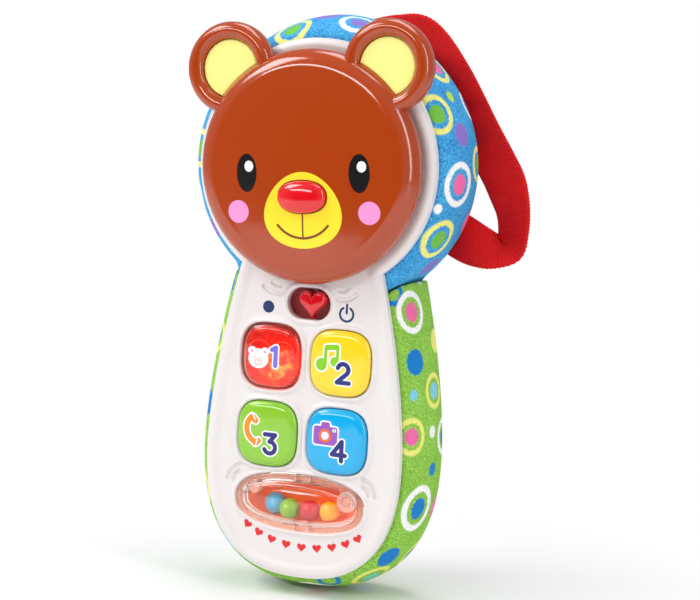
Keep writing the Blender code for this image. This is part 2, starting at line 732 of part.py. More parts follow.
def make_spring(name, centre, start, direction):
    """A conical coil against the battery's flat end."""
    turns, wire, height, steps = 2.6, 0.35, 2.0, 26
    rings = []
    for i in range(steps + 1):
        t = i / steps
        angle = 2 * math.pi * turns * t
        radius = 2.2 + 1.6 * t
        out = Vector((math.cos(angle), math.sin(angle), 0.0))
        z = start + direction * (wire + height * t)
        middle = Vector((centre[0], centre[1], z)) + out * radius
        ring = []
        for k in range(4):
            a = 2 * math.pi * k / 4
            ring.append(tuple(middle + out * (wire * math.cos(a)) + Vector((0, 0, wire * math.sin(a)))))
        rings.append(ring)
    loft(name, rings, material(name, METAL, 0.25, 1.0))


def make_door():
    outline = rounded_box(*DOOR_SIZE, 3.0)
    inner = rounded_box(DOOR_SIZE[0] - 0.8, DOOR_SIZE[1] - 0.8, 2.6)
    centre = (0.0, DOOR_Z)
    rings = [ring_at(outline, -1.8, centre), ring_at(outline, -0.4, centre), ring_at(inner, 0.0, centre)]
    door = loft("battery_door", rings, material("battery_door", WHITE, 0.45))
    screw = (0.0, DOOR_Z + DOOR_SIZE[1] / 2 - 5.0)
    cut(door, prism("door_head_seat", circle(2.7, 16), -1.0, 1.0, screw))
    cut(door, prism("door_bore", circle(1.5, 12), -3.0, 1.0, screw))
    profile = ((2.3, -0.2), (2.3, -0.75), (1.1, -0.75), (1.1, -3.4))
    head = turned("door_screw", profile, screw, material("door_screw", METAL, 0.3, 1.0), 14)
    cut_cross(head, screw, -0.45)


def cut_cross(screw, centre, floor_y):
    for i, (w, h) in enumerate(((2.8, 0.6), (0.6, 2.8))):
        outline = [(-w / 2, -h / 2), (w / 2, -h / 2), (w / 2, h / 2), (-w / 2, h / 2)]
        cut(screw, prism(f"{screw.name}_cross_{i}", outline, floor_y, 3.0, centre))


def make_screws():
    for i, centre in enumerate(SHELL_SCREWS):
        profile = ((2.6, -4.4), (2.6, -5.7), (1.3, -5.7), (1.3, -20.0))
        turned(f"shell_screw_{i + 1}", profile, centre, material(f"shell_screw_{i + 1}", METAL, 0.3, 1.0), 12)
    for i, centre in enumerate(PLATE_SCREWS):
        profile = ((2.4, -1.6), (2.4, -3.1), (1.1, -3.1), (1.1, -12.0))
        name = f"plate_screw_{i + 1}"
        screw = turned(name, profile, centre, material(name, METAL, 0.3, 1.0), 14)
        cut_cross(screw, centre, -2.3)


def main():
    clear_scene()
    make_front_shell()
    make_rear_shell()
    make_back_plate()
    make_covers()
    make_foam_pad()
    strap("strap_loop", STRAP_WIDTH, STRAP_THICKNESS, material("strap_loop", RED, 0.8))
    make_bear_face()
    for side, name in ((-1, "left"), (1, "right")):
        make_ear_insert(side, f"ear_insert_{name}")
        make_cover_runner(side, name)
    make_nose()
    make_mirror()
    make_heart_slider()
    make_slide_switch()
    make_keys()
    make_keypad()
    make_electronics()
    make_rattle()
    make_beads()
    make_batteries()
    make_door()
    make_screws()


main()
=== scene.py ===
"""Looks of the toy cell phone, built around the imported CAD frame.

Sizes are in millimetres in the row frame (X to the right seen from the front, Z up, the front faces -Y) and
become metres where a mesh is made. A "rise" is how far a point stands forward of the white face. A "gap" is
the distance to a shape's edge, negative inside, or a function of x and z that gives it.
"""

import math

import bmesh
import bpy
import numpy as np
from mathutils import Matrix, Vector, geometry


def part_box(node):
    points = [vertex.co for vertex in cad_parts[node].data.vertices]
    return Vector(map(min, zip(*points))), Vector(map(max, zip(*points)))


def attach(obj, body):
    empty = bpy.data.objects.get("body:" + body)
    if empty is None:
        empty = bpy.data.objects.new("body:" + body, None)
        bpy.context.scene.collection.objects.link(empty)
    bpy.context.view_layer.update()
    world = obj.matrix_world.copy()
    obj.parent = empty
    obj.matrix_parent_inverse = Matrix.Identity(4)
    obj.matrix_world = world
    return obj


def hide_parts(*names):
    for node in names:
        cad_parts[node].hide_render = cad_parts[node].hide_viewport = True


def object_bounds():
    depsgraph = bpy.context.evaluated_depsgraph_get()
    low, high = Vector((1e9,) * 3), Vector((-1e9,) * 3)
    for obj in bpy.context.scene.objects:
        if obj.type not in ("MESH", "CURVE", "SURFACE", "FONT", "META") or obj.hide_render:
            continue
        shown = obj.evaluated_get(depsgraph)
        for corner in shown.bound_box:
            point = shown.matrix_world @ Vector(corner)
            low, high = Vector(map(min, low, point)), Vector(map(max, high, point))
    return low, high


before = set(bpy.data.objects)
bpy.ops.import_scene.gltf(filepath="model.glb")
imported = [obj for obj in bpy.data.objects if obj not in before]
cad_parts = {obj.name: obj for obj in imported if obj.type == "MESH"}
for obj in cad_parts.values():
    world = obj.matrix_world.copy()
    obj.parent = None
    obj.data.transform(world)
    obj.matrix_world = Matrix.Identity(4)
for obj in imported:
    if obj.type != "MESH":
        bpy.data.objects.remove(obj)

CAD_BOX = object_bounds()
MM = 0.001
SIDES = ((-1, "left"), (1, "right"))

# ---- places taken from the frame ----


def node_box(name):
    low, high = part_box(name)
    return low / MM, high / MM


def middle(name):
    low, high = node_box(name)
    return (low + high) / 2


def xz(place):
    return (place.x, place.z)


HEAD_R = 40.9
DISC_R = 37.5
EAR_R = 15.0
LIP_PROUD = 0.9
PLATE = 2.5
FACE_LOW, FACE_HIGH = node_box("bear_face")
FACE_Y = node_box("front_shell")[0].y + LIP_PROUD
HEAD_Z = FACE_LOW.z + DISC_R
HEAD = (0.0, HEAD_Z)
RIGHT_EAR = (FACE_HIGH.x - EAR_R, FACE_HIGH.z - EAR_R - HEAD_Z)
EAR_X = 27.0
EAR_RISE = math.sqrt(RIGHT_EAR[0] ** 2 + RIGHT_EAR[1] ** 2 - EAR_X**2)
FACE_TILT = math.atan2(RIGHT_EAR[1], RIGHT_EAR[0]) - math.atan2(EAR_RISE, EAR_X)
NOSE = middle("nose")
HEART = middle("heart_slider")
KEYS = [middle(f"button_{i}") for i in range(1, 5)]
RATTLE = middle("rattle_window")
BEADS = [middle(f"bead_{i}") for i in range(1, 5)]
BACK = middle("back_plate")
DOOR = middle("battery_door")
SPEAKER = middle("speaker")

# ---- outlines: rows of (x, z) ----


def polar(radius, degrees, centre=(0.0, 0.0)):
    angle = np.radians(degrees)
    return centre[0] + radius * np.cos(angle), centre[1] + radius * np.sin(angle)


def circle(radius, count=96, centre=(0.0, 0.0)):
    return np.stack(polar(radius, np.linspace(0, 360, count, endpoint=False), centre), 1)


def arc_path(centre, radius, start, end, steps=24):
    """Points along an arc between two angles in degrees."""
    return np.stack(polar(radius, np.linspace(start, end, steps + 1), centre), 1)


def even(points, count, closed=True):
    """The same outline with evenly spaced points."""
    points = np.asarray(points, float)
    if closed:
        points = np.vstack([points, points[:1]])
    step = np.hypot(*np.diff(points, axis=0).T)
    along = np.concatenate([[0.0], np.cumsum(step)])
    target = np.linspace(0.0, along[-1], count, endpoint=not closed)
    return np.stack([np.interp(target, along, points[:, k]) for k in (0, 1)], 1)


def superellipse(half_x, half_z, exponent, count=96):
    unit = circle(1.0, 1440)
    return even(np.sign(unit) * np.abs(unit) ** (2 / exponent) * (half_x, half_z), count)


def rounded_box(width, height, radius, count=96):
    arcs = []
    for side_x, side_z, start in ((1, 1, 0), (-1, 1, 90), (-1, -1, 180), (1, -1, 270)):
        corner = (side_x * (width / 2 - radius), side_z * (height / 2 - radius))
        arcs.append(arc_path(corner, radius, start, start + 90, 15))
    return even(np.vstack(arcs), count)


def heart_outline(width, count):
    t = np.linspace(0.0, 2 * math.pi, 1000, endpoint=False)
    x = 16 * np.sin(t) ** 3
    z = 13 * np.cos(t) - 5 * np.cos(2 * t) - 2 * np.cos(3 * t) - np.cos(4 * t) + 2.5
    return even(np.stack([x, z], 1) * width / 32, count)


def rotated(outline, angle):
    c, s = math.cos(angle), math.sin(angle)
    return outline @ np.array(((c, s), (-s, c)))


NECK_TOP = -20.0
NECK_DRAW = 9.5
BODY_MID = -93.0
BODY_HALF_WIDTH = 34.0
BODY_DROP = 41.5
BODY_POWER = 2 / 2.5


def body_side(t, offset):
    """Right side of the pear-shaped body below the head's centre, from inside the head to the bottom."""

    def raw(t):
        upper_z = NECK_TOP + (BODY_MID - NECK_TOP) * t * 2
        upper_x = BODY_HALF_WIDTH - NECK_DRAW * np.clip((upper_z - BODY_MID) / 60.0, 0, None) ** 1.6
        angle = (t - 0.5) * math.pi
        lower_x = BODY_HALF_WIDTH * np.clip(np.cos(angle), 0, None) ** BODY_POWER
        lower_z = BODY_MID - BODY_DROP * np.clip(np.sin(angle), 0, None) ** BODY_POWER
        return np.stack([np.where(t < 0.5, upper_x, lower_x), np.where(t < 0.5, upper_z, lower_z)], -1)

    t = np.asarray(t, float)
    along = raw(np.minimum(t + 1e-3, 1.0)) - raw(np.maximum(t - 1e-3, 0.0))
    normal = np.stack([-along[..., 1], along[..., 0]], -1)
    normal /= np.linalg.norm(normal, axis=-1, keepdims=True)
    return raw(t) + normal * offset


def phone_outline(offset, head_count=240, side_count=170):
    """The keyhole outline of head and body, grown outwards by an offset, from the right side of the neck."""
    radius = HEAD_R + offset
    t = np.linspace(0.0, 0.5, 2000)
    neck_t = t[np.argmax(np.linalg.norm(body_side(t, offset), axis=1) > radius)]
    neck = body_side(neck_t, offset)
    start = math.degrees(math.atan2(neck[1], neck[0]))
    head = arc_path((0.0, 0.0), radius, start, 180 - start, head_count - 1)
    right = even(body_side(np.linspace(neck_t, 1.0, 900), offset), side_count, closed=False)[1:]
    left = right * (-1, 1)
    return np.vstack([head, left[:-1], [[0.0, right[-1, 1]]], right[-2::-1]]) + HEAD


OUTLINE = phone_outline(0.0)

# ---- gaps and rounded sections ----


def share(value, low, high):
    """How far a value has come from low to high, from 0 to 1."""
    return np.clip((value - low) / (high - low), 0, 1)


def rounded(distance, radius):
    """Quarter circle that rises from 0 to 1 over the first radius of a distance."""
    return np.sqrt(1 - (1 - share(distance, 0, radius)) ** 2)


def dent(distance, half, flank):
    """Section of a groove: 1 along its middle, with smooth flanks that end at its half width."""
    depth = share(half - distance, 0, flank)
    return depth * depth * (3 - 2 * depth)


def path_gap(x, z, path):
    """Distance to a row of straight lines."""
    gap = np.inf
    for a, b in zip(path[:-1], path[1:]):
        dx, dz = b[0] - a[0], b[1] - a[1]
        t = np.clip(((x - a[0]) * dx + (z - a[1]) * dz) / (dx * dx + dz * dz), 0, 1)
        gap = np.minimum(gap, np.hypot(x - a[0] - t * dx, z - a[1] - t * dz))
    return gap


def outline_gap(x, z, outline):
    x, z = np.asarray(x, float), np.asarray(z, float)
    inside = np.zeros(x.shape, bool)
    for a, b in zip(outline, np.roll(outline, -1, axis=0)):
        if a[1] != b[1]:
            crosses = (a[1] > z) != (b[1] > z)
            inside ^= crosses & (x < (b[0] - a[0]) * (z - a[1]) / (b[1] - a[1]) + a[0])
    gap = path_gap(x, z, np.vstack([outline, outline[:1]]))
    return np.where(inside, -gap, gap)


def superellipse_grow(x, z, half_x, half_z, exponent):
    """How far the superellipse must grow on each side to reach each point."""
    low, high = np.full(np.shape(x), 0.1 - half_z), np.full(np.shape(x), 200.0)
    for _ in range(30):
        grow = (low + high) / 2
        outside = np.abs(x / (half_x + grow)) ** exponent + np.abs(z / (half_z + grow)) ** exponent > 1
        low, high = np.where(outside, grow, low), np.where(outside, high, grow)
    return grow


def oval(centre, half_x, half_z):
    def gap(x, z):
        u, v = (x - centre[0]) / half_x, (z - centre[1]) / half_z
        reach = np.sqrt(u * u + v * v) + 1e-9
        slope = np.sqrt((u / half_x) ** 2 + (v / half_z) ** 2) + 1e-9
        return reach * (reach - 1) / slope

    return gap


def block(centre, half_x, half_z, radius):
    def gap(x, z):
        u = np.abs(x - centre[0]) - half_x + radius
        v = np.abs(z - centre[1]) - half_z + radius
        return np.hypot(np.maximum(u, 0), np.maximum(v, 0)) + np.minimum(np.maximum(u, v), 0) - radius

    return gap


def stroke(path, half):
    return lambda x, z: path_gap(x, z, path) - half


def either(*gaps):
    return lambda x, z: np.minimum.reduce([gap(x, z) for gap in gaps])


def border(gap, half):
    """A line of ink along a shape's edge."""
    return lambda x, z: np.abs(gap(x, z)) - half


def moved(gap, place):
    return lambda x, z: gap(x - place[0], z - place[1])


def around(centre, half_x, half_z=None):
    """The box (x0, z0, x1, z1) round a centre."""
    half_z = half_z or half_x
    return (centre[0] - half_x, centre[1] - half_z, centre[0] + half_x, centre[1] + half_z)


# ---- meshes ----


class Build:
    """Collects the points (mm) and faces of one piece."""

    def __init__(self):
        self.points = []
        self.faces = []

    def add(self, points, faces):
        base = len(self.points)
        self.points.extend(tuple(p) for p in points)
        self.faces.extend(tuple(base + i for i in face) for face in faces)

    def loft(self, rings, caps=True):
        """Closed rings of equal length joined by quads."""
        count, last = len(rings[0]), len(rings) - 1
        faces = []
        for k in range(last):
            for i in range(count):
                j = (i + 1) % count
                faces.append((k * count + i, k * count + j, (k + 1) * count + j, (k + 1) * count + i))
        if caps:
            faces.append(tuple(range(count)))
            faces.append(tuple(range(last * count, (last + 1) * count)))
        self.add([p for ring in rings for p in ring], faces)
        return self

    def slab(self, flat, faces, front, back):
        """A closed sheet: the same faces at two heights, joined along every border. Heights are y values."""
        count = len(flat)
        points = []
        for height in (front, back):
            points += [(p[0], y, p[1]) for p, y in zip(flat, np.broadcast_to(height, count))]
        edges = set()
        for face in faces:
            edges.update(zip(face, face[1:] + face[:1]))
        walls = [(b, a, a + count, b + count) for a, b in edges if (b, a) not in edges]
        behind = [tuple(i + count for i in reversed(face)) for face in faces]
        self.add(points, list(faces) + behind + walls)
        return self

    def mesh(self, name, angle=35):
        bm = bmesh.new()
        verts = [bm.verts.new(Vector(p) * MM) for p in self.points]
        for face in self.faces:
            bm.faces.new([verts[i] for i in face])
        bmesh.ops.recalc_face_normals(bm, faces=bm.faces)
        mesh = bpy.data.meshes.new(name)
        bm.to_mesh(mesh)
        bm.free()
        mesh.shade_smooth()
        mesh.set_sharp_from_angle(angle=math.radians(angle))
        return linked(name, mesh)

    def piece(self, name, look, body="root", stands_for=None, slot=None, angle=35):
        return finish_piece(self.mesh(name, angle), M[look], body, stands_for, slot)


def linked(name, data):
    obj = bpy.data.objects.new(name, data)
    bpy.context.scene.collection.objects.link(obj)
    return obj


def finish_piece(obj, mat, body, stands_for=None, slot=None):
    obj.data.materials.clear()
    obj.data.materials.append(mat)
    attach(obj, body)
    if stands_for:
        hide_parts(stands_for)
    return obj


def ring_at(outline, rise, centre=(0.0, 0.0)):
    return [(x + centre[0], FACE_Y - rise, z + centre[1]) for x, z in outline]


def prism(outline, rises, centre=(0.0, 0.0)):
    return Build().loft([ring_at(outline, rise, centre) for rise in rises])


def turned_rings(profile, centre, segments):
    """Rings of a solid turned about the Y direction: the profile lists (radius, rise)."""
    return [ring_at(circle(radius, segments), rise, centre) for radius, rise in profile]


def apply_modifiers(obj):
    """Bakes an object's modifiers into its mesh."""
    depsgraph = bpy.context.evaluated_depsgraph_get()
    depsgraph.update()
    baked = bpy.data.meshes.new_from_object(obj.evaluated_get(depsgraph))
    obj.modifiers.clear()
    old = obj.data
    obj.data = baked
    bpy.data.meshes.remove(old)


def combine(target, build, operation):
    modifier = target.modifiers.new(operation.lower(), "BOOLEAN")
    modifier.operation = operation
    modifier.solver = "EXACT"
    modifier.object = build.mesh("tool")
    tool = modifier.object
    apply_modifiers(target)
    bpy.data.objects.remove(tool, do_unlink=True)


def triangulate(outline, holes, rings, spacing):
    """Triangles between an outline and its holes that pass through the rings, with an even net elsewhere."""
    loops = [outline, *holes]
    edges = []
    base = 0
    for loop in loops:
        edges.extend((base + i, base + (i + 1) % len(loop)) for i in range(len(loop)))
        base += len(loop)
    near = np.vstack([*loops, *rings])
    low, high = outline.min(0), outline.max(0)
    net = []
    for k, z in enumerate(np.arange(low[1], high[1], spacing * 0.87)):
        xs = np.arange(low[0] + (k % 2) * spacing / 2, high[0], spacing)
        net.append(np.stack([xs, np.full(len(xs), z)], 1))
    net = np.vstack(net)
    net = net[outline_gap(*net.T, outline) < -spacing * 0.6]
    clear = []
    for start in range(0, len(net), 400):
        part = net[start : start + 400]
        gap = np.hypot(part[:, None, 0] - near[None, :, 0], part[:, None, 1] - near[None, :, 1]).min(1)
        clear.append(part[gap > spacing * 0.55])
    points = [Vector(p) for p in np.vstack([near, *clear])]
    flat, _, faces, _, _, _ = geometry.delaunay_2d_cdt(points, edges, [], 0, 1e-4)
    flat = np.array([tuple(p) for p in flat])
    centres = np.array([flat[list(face)].mean(0) for face in faces]).T
    keep = outline_gap(*centres, outline) < 0
    for hole in holes:
        keep &= outline_gap(*centres, hole) > 0
    faces = [tuple(face) for face, kept in zip(faces, keep) if kept]
    used = sorted({i for face in faces for i in face})
    new = {old: i for i, old in enumerate(used)}
    return flat[used], [tuple(new[i] for i in face) for face in faces]


def contour(gap, reach, cell):
    """Faces over the part of a box where a gap is negative, with smooth edges."""
    xs = np.arange(reach[0], reach[2] + cell, cell)
    zs = np.arange(reach[1], reach[3] + cell, cell)
    value = gap(*np.meshgrid(xs, zs, indexing="ij"))
    inside = value < 0
    points, faces, index = [], [], {}

    def point(key, x, z):
        if key not in index:
            index[key] = len(points)
            points.append((x, z))
        return index[key]

    def crossing(a, b):
        a, b = min(a, b), max(a, b)
        t = min(max(value[a] / (value[a] - value[b]), 0.04), 0.96)
        x, z = xs[a[0]], zs[a[1]]
        return point((a, b), x + t * (xs[b[0]] - x), z + t * (zs[b[1]] - z))

    cells = inside[:-1, :-1] | inside[1:, :-1] | inside[:-1, 1:] | inside[1:, 1:]
    for i, j in np.argwhere(cells):
        corners = ((i, j), (i + 1, j), (i + 1, j + 1), (i, j + 1))
        face = []
        for a, b in zip(corners, corners[1:] + corners[:1]):
            if inside[a]:
                face.append(point(a, xs[a[0]], zs[a[1]]))
            if inside[a] != inside[b]:
                face.append(crossing(a, b))
        faces.append(tuple(face))
    return np.array(points), faces


INK = 0.035
INK_ROOT = 0.03


def printed(name, gap, reach, surface, look, body, layer=1, cell=0.2, slot=None):
    """A thin layer of ink on a surface: gap is the print's shape, surface gives the rise."""
    flat, faces = contour(gap, reach, cell)
    y = FACE_Y - surface(*flat.T)
    Build().slab(flat, faces, y - INK * layer, y + INK_ROOT).piece(name, look, body, None, slot)

# ---- materials ----


def fill(tree, node, inputs):
    """Sets a node's inputs to values or links them to sockets."""
    for key, value in inputs.items():
        socket = node.inputs[key]
        if isinstance(value, bpy.types.NodeSocket):
            tree.links.new(value, socket)
        else:
            socket.default_value = value


def add(tree, kind, inputs=None, **settings):
    made = tree.nodes.new("ShaderNode" + kind)
    for key, value in settings.items():
        setattr(made, key, value)
    fill(tree, made, inputs or {})
    return made


def rgba(colour, scale=1.0):
    return (*(min(1.0, c * scale) for c in colour), 1.0)


def srgb(red, green, blue):
    """Linear colour from 0-255 screen values."""
    values = [value / 255 for value in (red, green, blue)]
    return tuple(c / 12.92 if c <= 0.04045 else ((c + 0.055) / 1.055) ** 2.4 for c in values)


def new_material(name):
    mat = bpy.data.materials.new(name)
    mat.use_nodes = True
    tree = mat.node_tree
    return mat, tree, tree.nodes["Principled BSDF"], add(tree, "TexCoord").outputs["Object"]


def mixed(tree, factor, a, b, kind="MIX"):
    return add(tree, "Mix", {0: factor, 6: a, 7: b}, data_type="RGBA", blend_type=kind).outputs[2]


def maths(tree, operation, a, b):
    return add(tree, "Math", {0: a, 1: b}, operation=operation).outputs[0]


def noise(tree, place, scale, detail=2.0, rough=0.5):
    inputs = {"Vector": place, "Scale": scale, "Detail": detail, "Roughness": rough}
    return add(tree, "TexNoise", inputs).outputs["Fac"]


def remap(tree, value, low, high, from_low=0.0, from_high=1.0):
    inputs = {"Value": value, "From Min": from_low, "From Max": from_high, "To Min": low, "To Max": high}
    return add(tree, "MapRange", inputs).outputs["Result"]


def distance(tree, place, spot):
    """Distance in metres from a spot in millimetres."""
    inputs = {0: place, 1: tuple(c * MM for c in spot)}
    return add(tree, "VectorMath", inputs, operation="DISTANCE").outputs["Value"]


def bumped(tree, height, strength, depth):
    inputs = {"Height": height, "Strength": strength, "Distance": depth}
    return add(tree, "Bump", inputs).outputs["Normal"]


def with_shader(tree, factor, other):
    """Mixes another shader into the material's Principled one."""
    own = tree.nodes["Principled BSDF"].outputs[0]
    mix = add(tree, "MixShader", {0: factor, 1: own, 2: other.outputs[0]})
    tree.links.new(mix.outputs[0], tree.nodes["Material Output"].inputs["Surface"])


def plastic(name, colour, roughness, coat, grain, tint, metallic=0.0):
    """Moulded plastic or metal: faint uneven colour, cloudy gloss and fine surface grain."""
    mat, tree, bsdf, place = new_material(name)
    cloud = noise(tree, place, 45.0, 3.0)
    fine = noise(tree, place, 900.0, 4.0)
    fill(tree, bsdf, {
        "Base Color": mixed(tree, cloud, rgba(colour, 1 - tint), rgba(colour, 1 + tint)),
        "Roughness": remap(tree, fine, roughness * 0.85, roughness * 1.2),
        "Metallic": metallic,
        "Coat Weight": coat,
        "Coat Roughness": 0.04,
        "Normal": bumped(tree, fine, grain, 0.0001),
    })
    return mat


def clear_plastic(name, colour, clearness=1.0):
    """Clear moulding that lets lamps through; the rest of its body is dyed."""
    mat, tree, bsdf, place = new_material(name)
    waves = noise(tree, place, 140.0, 2.0)
    fill(tree, bsdf, {
        "Base Color": rgba(colour),
        "Roughness": remap(tree, waves, 0.0, 0.03),
        "Transmission Weight": clearness,
        "IOR": 1.5,
        "Normal": bumped(tree, waves, 0.03, 0.0003),
    })
    through = add(tree, "BsdfTransparent", {"Color": rgba(colour)})
    with_shader(tree, add(tree, "LightPath").outputs["Is Shadow Ray"], through)
    return mat


def velour(name, deep, pale, dots):
    """Short-pile plush. Each dot is (centre, radius, bands), and a band (part of the radius, colour)."""
    mat, tree, bsdf, place = new_material(name)
    pile = noise(tree, place, 1500.0, 3.0, 0.75)
    blend = mixed(tree, 0.2, pile, noise(tree, place, 90.0, 3.0))
    ground = mixed(tree, remap(tree, blend, 0.0, 1.0, 0.3, 0.7), rgba(deep), rgba(pale))
    wander = remap(tree, pile, -0.7 * MM, 0.7 * MM)
    colour = ground
    for centre, radius, bands in dots:
        gap = maths(tree, "ADD", distance(tree, place, centre), wander)
        for part, tone in bands:
            edge = radius * part * MM
            mask = remap(tree, gap, 1.0, 0.0, edge - 0.25 * MM, edge + 0.25 * MM)
            colour = mixed(tree, mask, colour, rgba(tone) if tone else ground)
    speck = remap(tree, pile, 0.8, 1.2, 0.25, 0.75)
    fill(tree, bsdf, {
        "Base Color": mixed(tree, 1.0, colour, speck, "MULTIPLY"),
        "Roughness": 0.95,
        "Specular IOR Level": 0.15,
        "Sheen Weight": 0.18,
        "Sheen Roughness": 0.45,
        "Sheen Tint": rgba(pale),
        "Normal": bumped(tree, pile, 0.5, 0.0006),
    })
    return mat


def webbing(name, colour):
    """Woven tape; its ribs are in the mesh."""
    mat, tree, bsdf, place = new_material(name)
    yarn = noise(tree, place, 2600.0, 3.0, 0.6)
    both = maths(tree, "MULTIPLY", yarn, noise(tree, place, 90.0, 2.0))
    factor = remap(tree, both, 0.0, 1.0, 0.1, 0.45)
    fill(tree, bsdf, {
        "Base Color": mixed(tree, factor, rgba(colour, 0.85), rgba(colour, 1.15)),
        "Roughness": 0.75,
        "Sheen Weight": 0.08,
        "Sheen Tint": rgba(srgb(255, 90, 80)),
        "Specular IOR Level": 0.3,
        "Normal": bumped(tree, yarn, 0.5, 0.0003),
    })
    return mat


def painted_glow_core(name, spot):
    """The textured reflector behind the red key, painted with light: a pool of yellow-orange colour round a
    spot, streaked by noise, and emission that makes the whole reflector glow.
    """
    mat, tree, bsdf, place = new_material(name)
    glow_pool = remap(tree, distance(tree, place, spot), 1.0, 0.0, 1.5 * MM, 10.5 * MM)
    rays = remap(tree, noise(tree, place, 420.0, 3.0), 0.35, 1.5, 0.3, 0.7)
    ramp = add(tree, "ValToRGB", {"Fac": maths(tree, "MULTIPLY", glow_pool, rays)})
    stops = ramp.color_ramp.elements
    stops[0].color = rgba(srgb(175, 4, 10))
    stops[1].color = rgba(srgb(255, 215, 110))
    stops.new(0.3).color = rgba(srgb(225, 35, 15))
    stops.new(0.65).color = rgba(srgb(255, 110, 20))
    cells = add(tree, "TexVoronoi", {"Vector": place, "Scale": 1000.0}).outputs["Distance"]
    shade = mixed(tree, 1.0, ramp.outputs[0], remap(tree, cells, 0.35, 1.2, 0.1, 0.65), "MULTIPLY")
    # painted light: the reflector's colour is also its emission, brightest round the spot
    inputs = {"Base Color": shade, "Emission Color": shade, "Emission Strength": remap(tree, glow_pool, 0.5, 1.9)}
    fill(tree, bsdf, {**inputs, "Roughness": 0.25})
    return mat


PLASTICS = {
    # screen colour; roughness, coat, grain, unevenness of the colour and sometimes metallic
    "shell": (230, 224, 223, 0.3, 0.15, 0.04, 0.02),
    "back": (236, 232, 230, 0.5, 0.0, 0.25, 0.03),
    "brown": (170, 61, 12, 0.14, 0.5, 0.015, 0.03),
    "cream": (253, 246, 140, 0.45, 0.0, 0.05, 0.02),
    "nose": (225, 12, 26, 0.14, 0.6, 0.02, 0.04),
    "heart": (218, 10, 26, 0.12, 0.7, 0.02, 0.05),
    # darker red of the switch plate: partly painted shade, down in the slot
    "dark_red": (135, 8, 16, 0.3, 0.2, 0.05, 0.05),
    "yellow": (248, 214, 34, 0.16, 0.5, 0.02, 0.03),
    "green": (140, 200, 50, 0.16, 0.5, 0.02, 0.03),
    "sky": (0, 172, 230, 0.16, 0.5, 0.02, 0.03),
    # painted highlight for the arches on the red key's reflector
    "arch_highlight": (255, 130, 110, 0.2, 0.5, 0.02, 0.05),
    "beige": (226, 192, 178, 0.3, 0.2, 0.03, 0.03),
    "tray": (240, 128, 72, 0.3, 0.2, 0.03, 0.04),
    "ink_black": (8, 6, 6, 0.25, 0.3, 0.02, 0.1),
    "ink_white": (250, 248, 248, 0.3, 0.2, 0.02, 0.02),
    "ink_pink": (243, 150, 210, 0.3, 0.2, 0.02, 0.03),
    "ink_muzzle": (253, 226, 40, 0.3, 0.2, 0.02, 0.02),
    "ink_brown": (125, 60, 15, 0.3, 0.2, 0.02, 0.05),
    "ink_maroon": (120, 20, 12, 0.3, 0.2, 0.02, 0.05),
    "ink_navy": (20, 32, 118, 0.3, 0.2, 0.02, 0.05),
    "ink_dark_navy": (24, 48, 100, 0.35, 0.1, 0.02, 0.05),
    "ink_lime": (132, 203, 14, 0.3, 0.2, 0.02, 0.04),
    "ink_orange": (248, 142, 4, 0.3, 0.2, 0.02, 0.04),
    "ink_ring": (238, 105, 40, 0.3, 0.2, 0.02, 0.04),
    "ink_purple": (150, 84, 188, 0.3, 0.2, 0.02, 0.04),
    "ink_lens": (225, 230, 245, 0.25, 0.3, 0.02, 0.03),
    "ink_teal": (90, 180, 170, 0.3, 0.2, 0.02, 0.04),
    "ink_lilac": (120, 110, 225, 0.3, 0.2, 0.02, 0.1),
    "ink_red": (222, 20, 30, 0.35, 0.1, 0.02, 0.04),
    "battery": (42, 44, 50, 0.3, 0.2, 0.05, 0.1, 0.4),
    "black": (28, 28, 30, 0.4, 0.0, 0.2, 0.08),
    "board": (24, 92, 52, 0.35, 0.1, 0.3, 0.15),
    "rubber": (150, 152, 156, 0.8, 0.0, 0.3, 0.05),
    "foam": (236, 232, 220, 0.95, 0.0, 1.0, 0.06),
    "bead_blue": (84, 196, 248, 0.12, 0.5, 0.02, 0.05),
    "bead_green": (125, 200, 50, 0.12, 0.5, 0.02, 0.05),
    "bead_red": (200, 45, 60, 0.12, 0.5, 0.02, 0.05),
    "bead_yellow": (250, 190, 30, 0.12, 0.5, 0.02, 0.05),
}
METALS = {
    # reflected colour; roughness, grain, unevenness
    "mirror": (0.93, 0.94, 0.95, 0.04, 0.01, 0.01),
    "steel": (0.62, 0.62, 0.64, 0.28, 0.2, 0.06),
    "spring": (0.7, 0.66, 0.58, 0.25, 0.1, 0.08),
}
CLEAR = {
    # screen colour; clearness
    "red_clear": (255, 150, 132, 0.95),
    "frosted": (238, 214, 206, 0.45),
    "window": (253, 238, 233, 1.0),
    "led": (255, 150, 120, 1.0),
}
PAINTED_EMISSION = {
    # screen colour and strength of painted light: an emission glow on the piece that stands in for the light
    # a clear cover scatters onto it
    "arch_highlight": (255, 120, 100, 0.5),
    "tray": (244, 104, 40, 0.16),
    "bead_blue": (80, 175, 225, 0.14),
    "bead_green": (125, 200, 50, 0.1),
    "bead_red": (200, 45, 60, 0.1),
    "bead_yellow": (250, 190, 30, 0.1),
}
# middle of the painted glow on the red key's reflector, from the key's middle
PAINTED_GLOW_AT = (2.2, -2.8)


